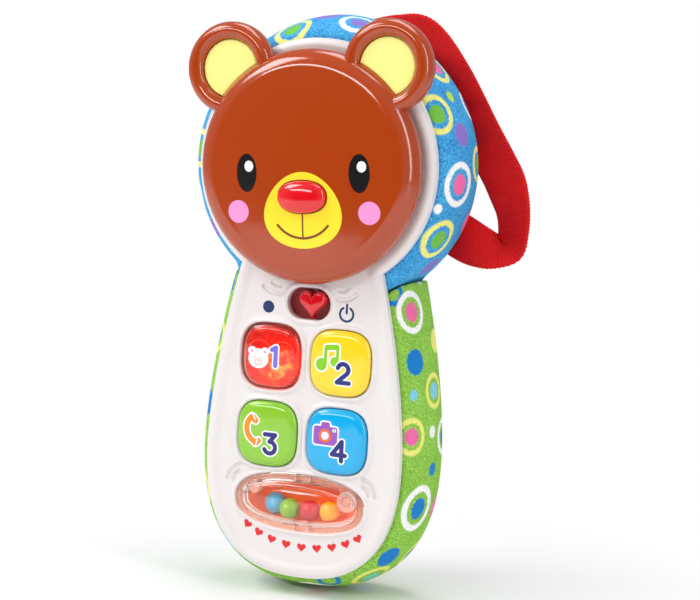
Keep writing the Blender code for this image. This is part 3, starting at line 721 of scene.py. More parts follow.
def make_materials():
    made = {name: plastic(name, srgb(*row[:3]), *row[3:]) for name, row in PLASTICS.items()}
    for name, (*colour, roughness, grain, tint) in METALS.items():
        made[name] = plastic(name, colour, roughness, 0.0, grain, tint, 1.0)
    for name, (*colour, clearness) in CLEAR.items():
        made[name] = clear_plastic(name, srgb(*colour), clearness)
    # painted light: these pieces get a faint emission glow
    for name, (*colour, strength) in PAINTED_EMISSION.items():
        tree = made[name].node_tree
        light = {"Emission Color": rgba(srgb(*colour)), "Emission Strength": strength}
        fill(tree, tree.nodes["Principled BSDF"], light)
    # the red key's reflector glows with painted light round this spot
    spot = (KEYS[0].x + PAINTED_GLOW_AT[0], FACE_Y, KEYS[0].z + PAINTED_GLOW_AT[1])
    made["core"] = painted_glow_core("core", spot)
    made["webbing"] = webbing("webbing", srgb(208, 0, 8))
    made["velour_blue"] = velour("velour_blue", srgb(0, 104, 190), srgb(96, 196, 240), head_dots())
    made["velour_green"] = velour("velour_green", srgb(104, 170, 40), srgb(172, 222, 104), body_dots())
    return made


# ---- front housing ----

SLOT = (15.2, 10.4)
SLOT_ROUND = SLOT[1] / 2 - 0.1
SLOT_AT = (0.0, HEART.z)
KEY_HALF = (10.35, 10.6)
KEY_EXPONENT = 3.1
RATTLE_HALF = (22.6, 9.2)
RATTLE_EXPONENT = 2.4
HOLE_GAP = 0.3
RAIL_X = 22.0
RAIL_LOW = -20.5
COVER_TRAVEL = 40.0
MIRROR_AT = (0.0, HEAD_Z - 16.5)
MIRROR_WINDOW_R = 18.0
EDGE_DROP = 1.0
EDGE_ROUND = 2.0
RIM_TOP = 0.8
RIM_WIDTH = 5.4
GROOVE_HALF = 0.85
GROOVE_FLANK = 0.4
GROOVE_DEPTH = 0.7
SKIRT = ((-4.0, -PLATE), (-4.0, -11.8), (-6.0, -11.8), (-6.0, -PLATE))


def key_outline(grow, count=96):
    return superellipse(KEY_HALF[0] + grow, KEY_HALF[1] + grow, KEY_EXPONENT, count)


def key_grow(key, x, z):
    return superellipse_grow(x - key.x, z - key.z, *KEY_HALF, KEY_EXPONENT)


def lip(grow, hole, crest, top, outer):
    """Rounded raised lip round an opening, from the hole's edge outwards."""
    rising = crest * (0.4 + 0.6 * np.sin(math.pi / 2 * share(grow, hole, top)))
    falling = crest * np.cos(math.pi / 2 * share(grow, top, outer)) ** 2
    return np.where(grow < top, rising, falling)


def bowed(a, b, bow, steps=10):
    """An arc from a to b that bows to the right of its direction by the given height."""
    a, b = np.array(a), np.array(b)
    t = np.linspace(-1, 1, steps + 1)[:, None]
    chord = b - a
    side = np.array((chord[1], -chord[0])) / np.hypot(*chord)
    return (a + b) / 2 + chord * t / 2 + side * bow * (1 - t * t)


def groove_paths():
    """Shallow bowed marks beside the switch and the rattle."""
    paths = []
    for side, _ in SIDES:
        for radius, low, high, bow in ((40.6, 14.5, 19.0, 0.4), (43.2, 13.0, 22.0, 0.9)):
            ends = [polar(radius, -90 + side * angle, HEAD) for angle in (low, high)]
            paths.append(bowed(*ends, side * bow))
        for x0, z0, x1, z1, bow in ((26.3, 5.2, 21.8, 10.2, 1.1), (24.0, 5.2, 22.0, 7.8, 0.5)):
            paths.append(bowed((side * x0, RATTLE.z + z0), (side * x1, RATTLE.z + z1), side * bow))
    return paths


GROOVES = groove_paths()


def front_rise(x, z):
    """Height of the white face's surface."""
    inset = -outline_gap(x, z, OUTLINE)
    edge = -EDGE_DROP + (EDGE_DROP + RIM_TOP) * rounded(inset, EDGE_ROUND)
    rim = RIM_TOP * np.cos(math.pi / 2 * share(inset, EDGE_ROUND, RIM_WIDTH)) ** 2
    rise = np.where(inset < EDGE_ROUND, edge, rim)
    for key in KEYS:
        rise = np.maximum(rise, lip(key_grow(key, x, z), HOLE_GAP, 0.8, 1.0, 2.2))
    grow = superellipse_grow(x - RATTLE.x, z - RATTLE.z, *RATTLE_HALF, RATTLE_EXPONENT)
    rise = np.maximum(rise, lip(grow, HOLE_GAP, 0.5, 0.9, 1.9))
    slot_gap = block(SLOT_AT, SLOT[0] / 2, SLOT[1] / 2, SLOT_ROUND)(x, z)
    rise = np.maximum(rise, lip(slot_gap, 0.0, 0.7, 0.9, 2.2))
    for path in GROOVES:
        rise = rise - GROOVE_DEPTH * dent(path_gap(x, z, path), GROOVE_HALF, GROOVE_FLANK)
    return rise


def groove_rings(path):
    """Rows of points along a groove and round its ends."""
    length = np.hypot(*np.diff(path, axis=0).T).sum()
    centre = even(path, int(length / 0.3), closed=False)
    across = np.gradient(centre, axis=0)
    across = np.stack([-across[:, 1], across[:, 0]], 1)
    across /= np.linalg.norm(across, axis=1, keepdims=True)
    rings = [centre + across * w for w in (-0.85, -0.65, -0.45, -0.25, 0.0, 0.25, 0.45, 0.65, 0.85)]
    for point, before in ((path[0], path[1]), (path[-1], path[-2])):
        tip = math.degrees(math.atan2(*(point - before)[::-1]))
        rings += [arc_path(point, r, tip - 80, tip + 80, 6) for r in (0.25, 0.45, 0.65, 0.85)]
    return rings


def make_front_housing():
    def key_hole(key, grow):
        return key_outline(grow, 132) + xz(key)

    def window(grow):
        return superellipse(RATTLE_HALF[0] + grow, RATTLE_HALF[1] + grow, RATTLE_EXPONENT, 170) + xz(RATTLE)

    def slot(grow):
        return rounded_box(SLOT[0] + 2 * grow, SLOT[1] + 2 * grow, SLOT_ROUND + grow, 90) + SLOT_AT

    grows = (0.5, 0.7, 0.95, 1.2, 1.5, 1.8, 2.15)
    holes = [key_hole(key, HOLE_GAP) for key in KEYS] + [window(HOLE_GAP), slot(0.0)]
    rings = [key_hole(key, grow) for key in KEYS for grow in grows]
    rings += [window(grow) for grow in grows[:-1]]
    rings += [slot(grow) for grow in (0.2, 0.45, 0.7, 0.95, 1.25, 1.55, 1.9, 2.25)]
    holes.append(circle(MIRROR_WINDOW_R, 140, MIRROR_AT))
    for side, _ in SIDES:
        rail = (side * RAIL_X, HEAD_Z + RAIL_LOW + COVER_TRAVEL / 2)
        holes.append(rounded_box(3.2, COVER_TRAVEL + 6.0, 1.5, 110) + rail)
    for path in GROOVES:
        rings += groove_rings(path)
    for inset in (0.15, 0.4, 0.75, 1.2, 1.7, 2.2, 2.8, 3.4, 4.0, 4.6, 5.2):
        rings.append(phone_outline(-inset, 200, 140))
    flat, faces = triangulate(OUTLINE, holes, rings, 2.0)
    build = Build().slab(flat, faces, FACE_Y - front_rise(*flat.T), FACE_Y + PLATE)
    skirt = [ring_at(phone_outline(offset, 120, 90), rise) for offset, rise in SKIRT]
    build.loft(skirt + skirt[:1], caps=False)
    build.piece("front_housing", "shell", "root", "front_shell", "shell_white")


# ---- bear face cover ----

COS_TILT = math.cos(FACE_TILT)
SIN_TILT = math.sin(FACE_TILT)
CROWN_R = 31.0
ROUND_R = DISC_R - CROWN_R
ROUND_LOW = 4.5
ROUND_HEIGHT = 5.9


def on_face(x, z):
    """A place on the bear face, which sits slightly tilted on the phone."""
    return (x * COS_TILT - z * SIN_TILT, HEAD_Z + x * SIN_TILT + z * COS_TILT)


def face_frame(x, z):
    """A row-frame place in the face's own tilted directions, measured from the head's centre."""
    return x * COS_TILT + (z - HEAD_Z) * SIN_TILT, (z - HEAD_Z) * COS_TILT - x * SIN_TILT


def dome(x, z):
    """Rise of the face: a shallow crown inside a rounded shoulder."""
    r = np.hypot(x, z - HEAD_Z)
    flat = 11.55 - 1.15 * (r / CROWN_R) ** 2
    return np.where(r < CROWN_R, flat, ROUND_LOW + ROUND_HEIGHT * rounded(DISC_R - r, ROUND_R))


def make_bear_face():
    outer = [(r, float(dome(r, HEAD_Z))) for r in np.linspace(0.05, CROWN_R, 24)]
    for a in np.radians(np.linspace(5, 90, 22)):
        outer.append((CROWN_R + ROUND_R * math.sin(a), ROUND_LOW + ROUND_HEIGHT * math.cos(a)))
    rim = [(37.45, 3.2), (37.2, 2.2), (36.8, 1.7), (36.2, 1.5), (34.9, 1.5), (34.6, 1.9)]
    inner = [(34.6, 4.8), (33.9, 7.2), (32.6, 8.3), (30.5, 8.8), (20.0, 9.2), (0.05, 9.5)]
    face = Build().loft(turned_rings(outer + rim + inner, HEAD, 176)).mesh("bear_face_cover")
    for side, _ in SIDES:
        combine(face, ear_blank(side), "UNION")
    combine(face, prism(circle(33.8, 128), (7.6, -2.0), HEAD), "DIFFERENCE")
    for side, _ in SIDES:
        foot = prism(rounded_box(2.4, 5.0, 1.0, 32), (9.4, -PLATE), (side * RAIL_X, HEAD_Z + RAIL_LOW))
        combine(face, foot, "UNION")
    face.data.shade_smooth()
    face.data.set_sharp_from_angle(angle=math.radians(32))
    finish_piece(face, M["brown"], "face_cover", "bear_face", "face_brown")


def ear_blank(side):
    profile = [(0.05, 1.8), (13.2, 1.8), (14.2, 2.1), (14.8, 2.9), (15.0, 4.2)]
    for angle in np.radians(np.linspace(0, 180, 26)):
        height = 5.0 + 3.4 * math.sin(angle) if angle < math.pi / 2 else 6.1 + 2.3 * math.sin(angle)
        profile.append((12.25 + 2.75 * math.cos(angle), height))
    profile += [(9.5, 4.8), (0.05, 4.8)]
    return Build().loft(turned_rings(profile, on_face(side * EAR_X, EAR_RISE), 120))


def make_ear_inserts():
    for side, name in SIDES:
        place = on_face(side * EAR_X, EAR_RISE)
        ear = oval(place, 9.3, 9.3)

        def gap(x, z):
            return np.maximum(ear(x, z), 37.2 - np.hypot(x, z - HEAD_Z))

        flat, faces = contour(gap, around(place, 10), 0.3)
        front = FACE_Y - 5.85 - 0.35 * rounded(-gap(*flat.T), 0.5)
        build = Build().slab(flat, faces, front, FACE_Y - 5.1)
        build.piece(f"ear_lining_{name}", "cream", "face_cover", f"ear_insert_{name}", "ear_cream", 60)


def make_nose():
    rings = [ring_at(circle(1.6, 84), rise, xz(NOSE)) for rise in (8.8, 11.2)]
    for angle in np.radians(np.linspace(-20, 88, 24)):
        size = math.cos(angle) ** 0.8
        outline = rotated(superellipse(8.2 * size, 5.1 * size, 2.3, 84), FACE_TILT)
        rings.append(ring_at(outline, 11.9 + 2.7 * math.sin(angle), xz(NOSE)))
    Build().loft(rings).piece("bear_nose", "nose", "face_cover", "nose", "nose_red", 60)


def print_face():
    """The face's flat prints, drawn in its own directions from the head's centre."""

    def on_dome(name, gap, box, ink, layer=1, cell=0.25):
        place = on_face((box[0] + box[2]) / 2, (box[1] + box[3]) / 2)
        reach = around(place, (box[2] - box[0]) / 2 + 1.2, (box[3] - box[1]) / 2 + 1.2)
        tilted = lambda x, z: gap(*face_frame(x, z))
        printed(name, tilted, reach, dome, ink, "face_cover", layer, cell, "face_brown")

    def muzzle(x, z):
        t = (z + 13.65) / 12.15
        return oval((0.0, -13.65), 13.2, 12.15)(x / (1 - 0.16 * t), z)

    def nose(x, z):
        return superellipse_grow(x, z + 9.4, 8.55, 5.45, 2.3)

    for side, name in SIDES:
        eye, glint, cheek = (side * 19.3, -1.9), (side * 19.3 + 0.8, 0.2), (side * 22.5, -14.3)
        on_dome(f"eye_{name}", oval(eye, 3.5, 6.1), around(eye, 3.5, 6.1), "ink_black")
        on_dome(f"glint_{name}", oval(glint, 1.55, 1.75), around(glint, 1.55, 1.75), "ink_white", 2)
        on_dome(f"cheek_{name}", oval(cheek, 3.65, 3.65), around(cheek, 3.65), "ink_pink")
    on_dome("muzzle", muzzle, (-14, -26, 14, -1), "ink_muzzle")
    on_dome("nose_outline", nose, (-9, -15, 9, -4), "ink_maroon", 2, 0.3)
    on_dome("mouth_line", stroke(((0.0, -14.7), (0.0, -22.3)), 0.26), (-1, -23, 1, -14), "ink_brown", 2)
    smile = stroke(arc_path((0.0, -11.4), 11.1, -141, -39, 30), 0.38)
    on_dome("smile", smile, (-10, -23, 10, -17), "ink_brown", 3, 0.15)


# ---- switch ----


def make_heart():
    """Slider plate in the slot, with a puffed heart standing on it."""
    # the plate's darker red than the heart is partly painted shade of the slot
    plate = prism(rounded_box(20.4, 12.0, 5.0, 80), (-3.9, -2.8), xz(HEART))
    plate.piece("heart_switch_plate", "dark_red", "heart_switch", None, "heart_red")
    outline = heart_outline(9.2, 160) * (1.0, 1.04)
    sections = [(1.0, -3.0), (1.0, 0.2)]
    for angle in np.radians(np.linspace(0, 90, 18)):
        sections.append((1 - 0.26 * (1 - math.cos(angle)) ** 1.2, 0.3 + 1.9 * math.sin(angle)))
    sections += [(size, 2.2 + 0.35 * (1 - size)) for size in (0.55, 0.35, 0.15, 0.02)]
    build = Build().loft([ring_at(outline * size, rise, xz(HEART)) for size, rise in sections])
    build.piece("heart_switch_cap", "heart", "heart_switch", "heart_slider", "heart_red", 50)


# ---- keys ----

KEY_LOOKS = ("red_clear", "yellow", "green", "sky")
KEY_SLOTS = ("key_red_clear", "key_yellow", "key_green", "key_blue")
KEY_ROUND = 2.3
KEY_MIDDLE = 10.2
CORE_BEHIND = 2.6
ARCHES_X = (-4.0, 4.2)


def key_profile(grow):
    """Rise of a key's crowned top, from its edge inwards."""
    inward = np.clip(-grow, 0, KEY_MIDDLE)
    crown = 1 - (1 - share(inward, 1.0, KEY_MIDDLE)) ** 2
    return 0.5 + 1.55 * rounded(inward, KEY_ROUND) + 0.45 * crown


def key_top(key, drop=0.0, inset=0.0):
    """Rings over a key's top, from its wall to its centre."""
    steps = [KEY_ROUND * (1 - math.cos(angle)) for angle in np.radians(np.linspace(0, 90, 14))]
    rings = []
    for step in [*steps, *np.linspace(2.7, KEY_MIDDLE, 14)]:
        exponent = KEY_EXPONENT - 1.0 * (step / 10.3) ** 2
        halves = [max(0.08, half - inset - step * (1 - inset / 10.4)) for half in KEY_HALF]
        rings.append(ring_at(superellipse(*halves, exponent), float(key_profile(-step)) - drop, xz(key)))
    return rings


def make_keys():
    for number, (key, look, slot) in enumerate(zip(KEYS, KEY_LOOKS, KEY_SLOTS), 1):
        hollow = number == 1
        foot = ((-0.8 if hollow else -1.8, -3.9), (0.8, -3.9), (0.8, -2.9), (0.0, -2.8))
        rings = key_top(key, 0.9, 0.8)[::-1] if hollow else []
        rings += [ring_at(key_outline(grow), rise, xz(key)) for grow, rise in foot]
        build = Build().loft(rings + key_top(key))
        build.piece(f"key_cap_{number}", look, f"key_{number}", f"button_{number}", slot)
    make_core(KEYS[0])


def make_core(key):
    """Faceted reflector under the clear key, with two raised arches."""

    def gap(x, z):
        return superellipse_grow(x - key.x, z - key.z, 9.2, 9.4, KEY_EXPONENT)

    flat, faces = contour(gap, around(xz(key), 10), 0.22)
    x, z = (flat - xz(key)).T
    pebbles = 0.09 * np.sin(x * 6.1) * np.sin(z * 5.3 + 0.8 * np.sin(x * 3.0))
    from_arch = np.minimum.reduce([path_gap(x, z, arc_path((at, 0.6), 3.9, 15, 165, 16)) for at in ARCHES_X])
    rise = 0.25 + pebbles + 0.45 * np.clip(1 - from_arch / 0.7, 0, 1)
    core = Build().slab(flat, faces, FACE_Y - rise, FACE_Y + CORE_BEHIND)
    core.piece("key_reflector", "core", "key_1", "light_reflector", "reflector_orange", 25)
    # painted highlight: a thin light pink layer along the two raised arches stands in for their highlights
    arch_highlights = either(*(stroke(arc_path((key.x + at, key.z + 1.2), 3.9, 12, 168), 0.26) for at in ARCHES_X))
    reach = around((key.x, key.z + 3), 9, 4)
    level = lambda x, z: np.full(len(x), 0.9)
    printed("key_reflector_arch_highlights", arch_highlights, reach, level, "arch_highlight", "key_1", 1, 0.14)


DIGIT_HALF = 0.72
HALO = 0.5
DIGITS = (
    # place on the key, stroke centre lines
    ((2.2, 0.2), [((-1.15, 2.15), (0.25, 3.0), (0.25, -3.0))]),
    ((1.7, -2.9), [(*arc_path((0.0, 1.25), 1.85, 165, -38, 18), (-2.0, -3.0), (2.15, -3.0))]),
    ((1.9, -3.1), [((-1.9, 3.1), (1.75, 3.1), (-0.15, 0.75)), arc_path((-0.1, -1.15), 1.95, 92, -158, 20)]),
    ((1.6, -2.7), [((2.2, -1.2), (-2.3, -1.2), (0.95, 3.2), (0.95, -3.1))]),
)
BEAR = either(oval((0.0, -0.4), 3.1, 2.75), oval((-2.35, 1.95), 0.95, 0.95), oval((2.35, 1.95), 0.95, 0.95))
NOTE = either(
    oval((-2.6, -2.5), 1.95, 2.05),
    oval((2.0, -1.3), 1.45, 1.55),
    stroke(((-1.2, -2.4), (-1.2, 3.2)), 0.55),
    stroke(((2.95, -1.3), (2.95, 3.5)), 0.5),
    stroke(((-0.9, 3.1), (2.6, 3.5)), 0.85),
)
HANDSET_AT = (2.6, 0.7)
HANDSET = either(
    stroke(arc_path(HANDSET_AT, 4.7, 128, 252), 0.95),
    stroke(((0.2, 4.1), (1.0, 3.2)), 1.0),
    stroke(((1.3, -4.2), (2.3, -3.3)), 1.0),
)
LENS_AT = (-0.1, -0.5)
FLASH_AT = (3.1, 1.45)
CAMERA = either(block((0.0, -0.5), 4.2, 3.0, 0.9), block((-0.1, 2.7), 1.5, 1.2, 0.6))
ICONS = (
    # place on the key, shape, ink
    ((-3.7, -0.5), BEAR, "ink_white"),
    ((-3.4, 1.9), NOTE, "ink_lime"),
    ((-4.6, 0.9), HANDSET, "ink_orange"),
    ((-3.3, 2.4), CAMERA, "ink_purple"),
)
DETAILS = (
    # small second colours of the icons: name, shape, ink, layer, cell
    [
        ("ear_left", oval((-2.35, 1.95), 0.45, 0.45), "ink_pink", 4, 0.14),
        ("eye_left", oval((-1.3, -0.1), 0.2, 0.28), "ink_orange", 4, 0.08),
        ("ear_right", oval((2.35, 1.95), 0.45, 0.45), "ink_pink", 4, 0.14),
        ("eye_right", oval((1.3, -0.1), 0.2, 0.28), "ink_orange", 4, 0.08),
        ("muzzle", border(oval((0.0, -1.5), 1.15, 0.95), 0.1), "ink_orange", 4, 0.08),
        ("nose", oval((0.0, -1.2), 0.32, 0.24), "ink_orange", 4, 0.08),
    ],
    [],
    [
        ("split_top", stroke([polar(r, 121, HANDSET_AT) for r in (3.3, 6.1)], 0.2), "ink_white", 4, 0.1),
        ("split_bottom", stroke([polar(r, 259, HANDSET_AT) for r in (3.3, 6.1)], 0.2), "ink_white", 4, 0.1),
    ],
    [
        ("lens_ring", border(oval(LENS_AT, 1.85, 1.85), 0.42), "ink_ring", 4, 0.14),
        ("lens", oval(LENS_AT, 1.35, 1.35), "ink_lens", 4, 0.14),
        ("flash", block(FLASH_AT, 0.62, 0.5, 0.15), "ink_white", 4, 0.1),
        ("flash_core", block(FLASH_AT, 0.35, 0.25, 0.1), "ink_teal", 5, 0.1),
    ],
)


def print_keys():
    for number, (key, (spot, lines), (at, icon, tone)) in enumerate(zip(KEYS, DIGITS, ICONS), 1):
        origin = (key.x + at[0], key.z + at[1])
        icon = moved(icon, origin)
        strokes = either(*(stroke(line, DIGIT_HALF) for line in lines))
        digit = moved(strokes, (key.x + spot[0], key.z + spot[1]))
        prints = [
            ("halo", lambda x, z: np.minimum(icon(x, z), digit(x, z)) - HALO, "ink_white", 1, 0.14),
            ("icon", lambda x, z: np.maximum(icon(x, z), -digit(x, z) + 0.45), tone, 2, 0.14),
            ("number", digit, "ink_lilac" if number == 1 else "ink_navy", 3, 0.14),
        ]
        prints += [(name, moved(gap, origin), *rest) for name, gap, *rest in DETAILS[number - 1]]
        surface = lambda x, z: key_profile(key_grow(key, x, z))
        for name, gap, ink, layer, cell in prints:
            reach = around(xz(key), 9)
            printed(f"key_{number}_{name}", gap, reach, surface, ink, f"key_{number}", layer, cell)


# half axes of the curve that the small hearts follow
HEART_ROW = (26.5, 16.3)


def print_front():
    def on_front(name, gap, box, ink, cell=0.15):
        printed(name, gap, box, front_rise, ink, "root", 1, cell)

    dot = (-14.2, HEAD_Z - 46.6)
    on_front("off_dot", oval(dot, 2.0, 2.0), around(dot, 3), "ink_dark_navy")
    x, z = 13.2, HEAD_Z - 46.4
    ring = stroke(arc_path((x, z - 0.25), 2.3, 122, 418, 30), 0.36)
    symbol = either(ring, stroke(((x, z + 2.9), (x, z + 0.1)), 0.36))
    on_front("power_mark", symbol, around((x, z + 0.25), 3.5, 3.75), "ink_dark_navy")
    for i, angle in enumerate(np.radians(np.linspace(-138, -42, 9)), 1):
        c, s = math.cos(angle), math.sin(angle)
        place = (1.5 + HEART_ROW[0] * c, RATTLE.z + 1.5 + HEART_ROW[1] * s)
        tilt = math.atan2(HEART_ROW[1] * c, -HEART_ROW[0] * s)
        heart = rotated(heart_outline(3.1, 60), tilt) + place
        shape = lambda u, v: outline_gap(u, v, heart)
        on_front(f"small_heart_{i}", shape, around(place, 2.2), "ink_red", 0.12)


# ---- rattle ----

DOME_THICK = 1.0


def rattle_ring(grow_x, grow_z, rise, exponent=RATTLE_EXPONENT):
    """The window's outline grown by two amounts, at a rise; the rattle's sections are rows of such rings."""
    outline = superellipse(RATTLE_HALF[0] + grow_x, RATTLE_HALF[1] + grow_z, exponent, 128)
    return ring_at(outline, rise, xz(RATTLE))


def make_rattle_dome():
    """Clear window with a crowned top of even thickness."""
    outer = [(-3.2, -2.4, -1.6), (0.0, 0.0, -1.6), (0.0, 0.0, 0.2), (-0.1, -0.1, 0.45), (-0.35, -0.35, 0.6)]
    outer += [(-1.5, -1.2, 0.8), (-1.8, -1.45, 1.0)]
    for angle in np.radians(np.linspace(0, 90, 14)):
        inward = 5.0 * (1 - math.cos(angle))
        outer.append((-2.0 - inward, -1.55 - inward * 0.62, 1.2 + 2.1 * math.sin(angle)))
    to_middle = np.linspace(0.1, 1.0, 10)
    top = [(-7.0 - 15.4 * t, -4.65 - 4.45 * t, 3.3 + 0.92 * (1 - (1 - t) ** 2)) for t in to_middle]
    inner = [(x, z, rise - DOME_THICK) for x, z, rise in top[::-1]]
    for angle in np.radians(np.linspace(90, 0, 10)):
        inward = 4.3 * (1 - math.cos(angle))
        inner.append((-3.0 - inward, -2.45 - inward * 0.55, 0.2 + 2.15 * math.sin(angle)))
    build = Build().loft([rattle_ring(*row) for row in inner + outer + top])
    build.piece("rattle_dome", "window", "root", "rattle_window", "window_clear", 40)


def make_rattle():
    make_rattle_dome()
    rim = [(0.1, 0.1, -2.7), (-2.6, -2.0, -2.7), (-2.9, -2.25, -2.4), (-2.6, -2.0, -1.75), (0.1, 0.1, -1.7)]
    rings = [rattle_ring(*row, 2.5) for row in rim + rim[:1]]
    Build().loft(rings, caps=False).piece("rattle_rim", "beige", "root", None, "shell_white", 40)
    bowl = [(-21.6, -8.4, -11.0), (-1.8, -1.2, -11.0), (-1.6, -1.0, -5.0), (1.0, 1.0, -3.8), (1.0, 1.0, -2.8)]
    bowl += [(-2.6, -2.0, -2.8), (-2.8, -2.2, -3.2), (-3.0, -2.4, -5.5), (-3.6, -3.0, -7.6)]
    bowl += [(-5.2, -4.2, -9.0), (-8.0, -5.4, -9.55), (-21.6, -8.4, -9.6)]
    build = Build().loft([rattle_ring(*row, 2.6) for row in bowl])
    build.piece("rattle_bowl", "tray", "root", "rattle_tray", "tray_orange", 40)
    make_rattle_fittings(*xz(RATTLE))


def make_rattle_fittings(x, z):
    """Clear bosses and clip tabs moulded on the window, and a white peg."""
    clear = Build()
    boss = [(3.3, -1.4), (3.3, 0.9), (3.0, 1.2), (1.7, 1.2), (1.5, 0.9), (1.2, 0.9), (1.0, 1.3), (0.05, 1.35)]
    clear.loft(turned_rings(boss, (x + 16.9, z + 2.4), 48))
    small = [(1.9, -1.4), (1.9, 0.8), (1.6, 1.1), (0.05, 1.15)]
    clear.loft(turned_rings(small, (x - 15.6, z + 3.3), 36))
    for tab in ((-1.6, 7.7), (3.4, 7.7), (-1.6, -7.7), (3.4, -7.7)):
        outline = rounded_box(0.9, 1.8, 0.3, 24) + tab
        clear.loft([ring_at(outline, rise, (x, z)) for rise in (-1.2, 0.9)])
    clear.piece("rattle_bosses", "frosted", "root", None, "window_clear", 40)
    peg = [(1.0, -1.5), (1.0, 0.6), (0.8, 0.95), (0.05, 1.05)]
    build = Build().loft(turned_rings(peg, (x - 18.9, z + 2.6), 36))
    build.piece("rattle_peg", "shell", "root", None, "shell_white", 40)


BEAD_R = 3.4


def make_beads():
    """Moulded balls with a faint parting line and a small gate mark."""
    for number, (place, tone) in enumerate(zip(BEADS, ("blue", "green", "red", "yellow")), 1):
        rings = []
        for angle in np.radians(np.linspace(-89.5, 89.5, 49)):
            line, gate = math.exp(-((angle * 12) ** 2)), math.exp(-(((angle - math.pi / 2) * 7) ** 2))
            radius = BEAD_R + 0.03 * line - 0.12 * gate
            y_z = circle(radius * math.cos(angle), 64, (place.x, place.y))
            rings.append([(x, y, place.z + radius * math.sin(angle)) for x, y in y_z])
        obj = Build().loft(rings).mesh(f"ball_{tone}", 60)
        centre = Vector(place) * MM
        turn = Matrix.Rotation(math.radians(35 + 40 * number), 4, Vector((0.6, 0.5, 0.4)).normalized())
        obj.data.transform(Matrix.Translation(centre) @ turn @ Matrix.Translation(-centre))
        bead = f"bead_{tone}"
        finish_piece(obj, M[bead], bead, f"bead_{number}", bead)


# ---- plush cover ----

COVER_STATIONS = (
    # offset from the phone's outline, y
    (-9.0, -0.8), (-6.0, -0.9), (-2.5, -1.7), (0.2, -3.0), (2.6, -5.0), (4.4, -7.8), (5.4, -11.0),
    (5.7, -14.5), (5.6, -18.0), (5.2, -22.0), (4.4, -26.0), (3.3, -29.5), (2.0, -32.0), (0.9, -33.1),
    (-3.6, -33.1), (-3.6, -5.8), (-5.2, -3.4), (-9.0, -3.4),
)
SEAM_R = 46.4
SEAM_LEVEL = -28.6
VOXEL = 1.3
PUFF = 2.2
TOP_LIFT = 2.4
LEFT_LIFT = 1.4
SHOULDER = 6.0
SHOULDER_FROM = 23.5
SHOULDER_DRAW = 3.6
BACK_SIZE = (44.0, 88.0)
BACK_ROUND = 12.0
PLATE_GAP = 0.4


def below_seam(radius, level):
    """Everything below the seam, which follows the head's circle between two level stretches."""
    start = math.degrees(math.asin(level / radius))
    arc = arc_path(HEAD, radius, start, -180 - start, 90)
    below = [(-90, HEAD_Z + level), (-90, -120), (90, -120), (90, HEAD_Z + level)]
    return wall(np.vstack([arc, below]), -50, 20)


def wall(outline, y0, y1):
    return Build().loft([[(x, y, z) for x, z in outline] for y in (y0, y1)])


def cover_blank(name):
    rings = []
    for offset, y in COVER_STATIONS:
        x, z = phone_outline(offset, 150, 110).T
        free = max(0.0, min(1.0, offset / 5.0))
        upward = share(z - HEAD_Z, 0, HEAD_R + offset)
        leftward = share(-x, 0, HEAD_R + offset)
        x = x - LEFT_LIFT * free * leftward
        z = z + TOP_LIFT * free * upward**6
        rings.append([(px, y, pz) for px, pz in zip(x, z)])
    return Build().loft(rings).mesh(name)


def make_covers():
    outline = [size + 2 * PLATE_GAP for size in BACK_SIZE]
    plate = rounded_box(*outline, BACK_ROUND + PLATE_GAP, 90) + xz(BACK)
    head = cover_blank("plush_head")
    combine(head, below_seam(SEAM_R - 0.5, SEAM_LEVEL + 0.3), "DIFFERENCE")
    combine(head, Build().loft(strap_sweep(16.2, 2.6, 60)), "DIFFERENCE")
    body = cover_blank("plush_body")
    combine(body, below_seam(SEAM_R + 0.1, SEAM_LEVEL - 0.3), "INTERSECT")
    for cover in (head, body):
        combine(cover, wall(plate, -20, 10), "DIFFERENCE")
        pad_out(cover, plate)
    round_shoulders(body)
    finish_piece(head, M["velour_blue"], "root", "head_cover", "fabric_blue")
    finish_piece(body, M["velour_green"], "root", "body_cover", "fabric_green")


def pad_out(cover, plate):
    """Remeshes a cover and lets it swell as filled cloth, held along its tucked and sewn edges."""
    remesh = cover.modifiers.new("remesh", "REMESH")
    remesh.mode = "VOXEL"
    remesh.voxel_size = VOXEL * MM
    apply_modifiers(cover)
    swell(cover, plate)
    cover.modifiers.new("subdivision", "SUBSURF").levels = 1
    apply_modifiers(cover)
    cover.data.shade_smooth()


def vertex_places(cover):
    places = np.empty(len(cover.data.vertices) * 3)
    cover.data.vertices.foreach_get("co", places)
    return places.reshape(-1, 3)


def is_held(points, plate):
    """Where the fabric is tucked or sewn."""
    x, y, z = points.T / MM
    edge = (outline_gap(x, z, OUTLINE) < 0.6) & (y < -3.2)
    return (y < FACE_Y + 4.2) | edge | (outline_gap(x, z, plate) < 1.6)


def swell(cover, plate):
    start = vertex_places(cover)
    group = cover.vertex_groups.new(name="held")
    group.add(np.flatnonzero(is_held(start, plate)).tolist(), 1.0, "REPLACE")
    settings = cover.modifiers.new("cloth", "CLOTH").settings
    settings.vertex_group_mass = "held"
    settings.use_pressure = True
    settings.uniform_pressure_force = 4.0
    settings.effector_weights.gravity = 0.0
    settings.quality = 4
    settings.tension_stiffness = 12.0
    settings.compression_stiffness = 12.0
    settings.bending_stiffness = 0.4
    for frame_number in range(1, 21):
        bpy.context.scene.frame_set(frame_number)
    apply_modifiers(cover)
    bpy.context.scene.frame_set(1)
    move = vertex_places(cover) - start
    length = np.linalg.norm(move, axis=1, keepdims=True)
    limit = PUFF * MM
    move *= np.where(length > 1e-9, limit * np.tanh(length / limit) / np.maximum(length, 1e-9), 1.0)
    cover.data.vertices.foreach_set("co", (start + move).ravel())
    cover.data.update()
    cover.vertex_groups.clear()


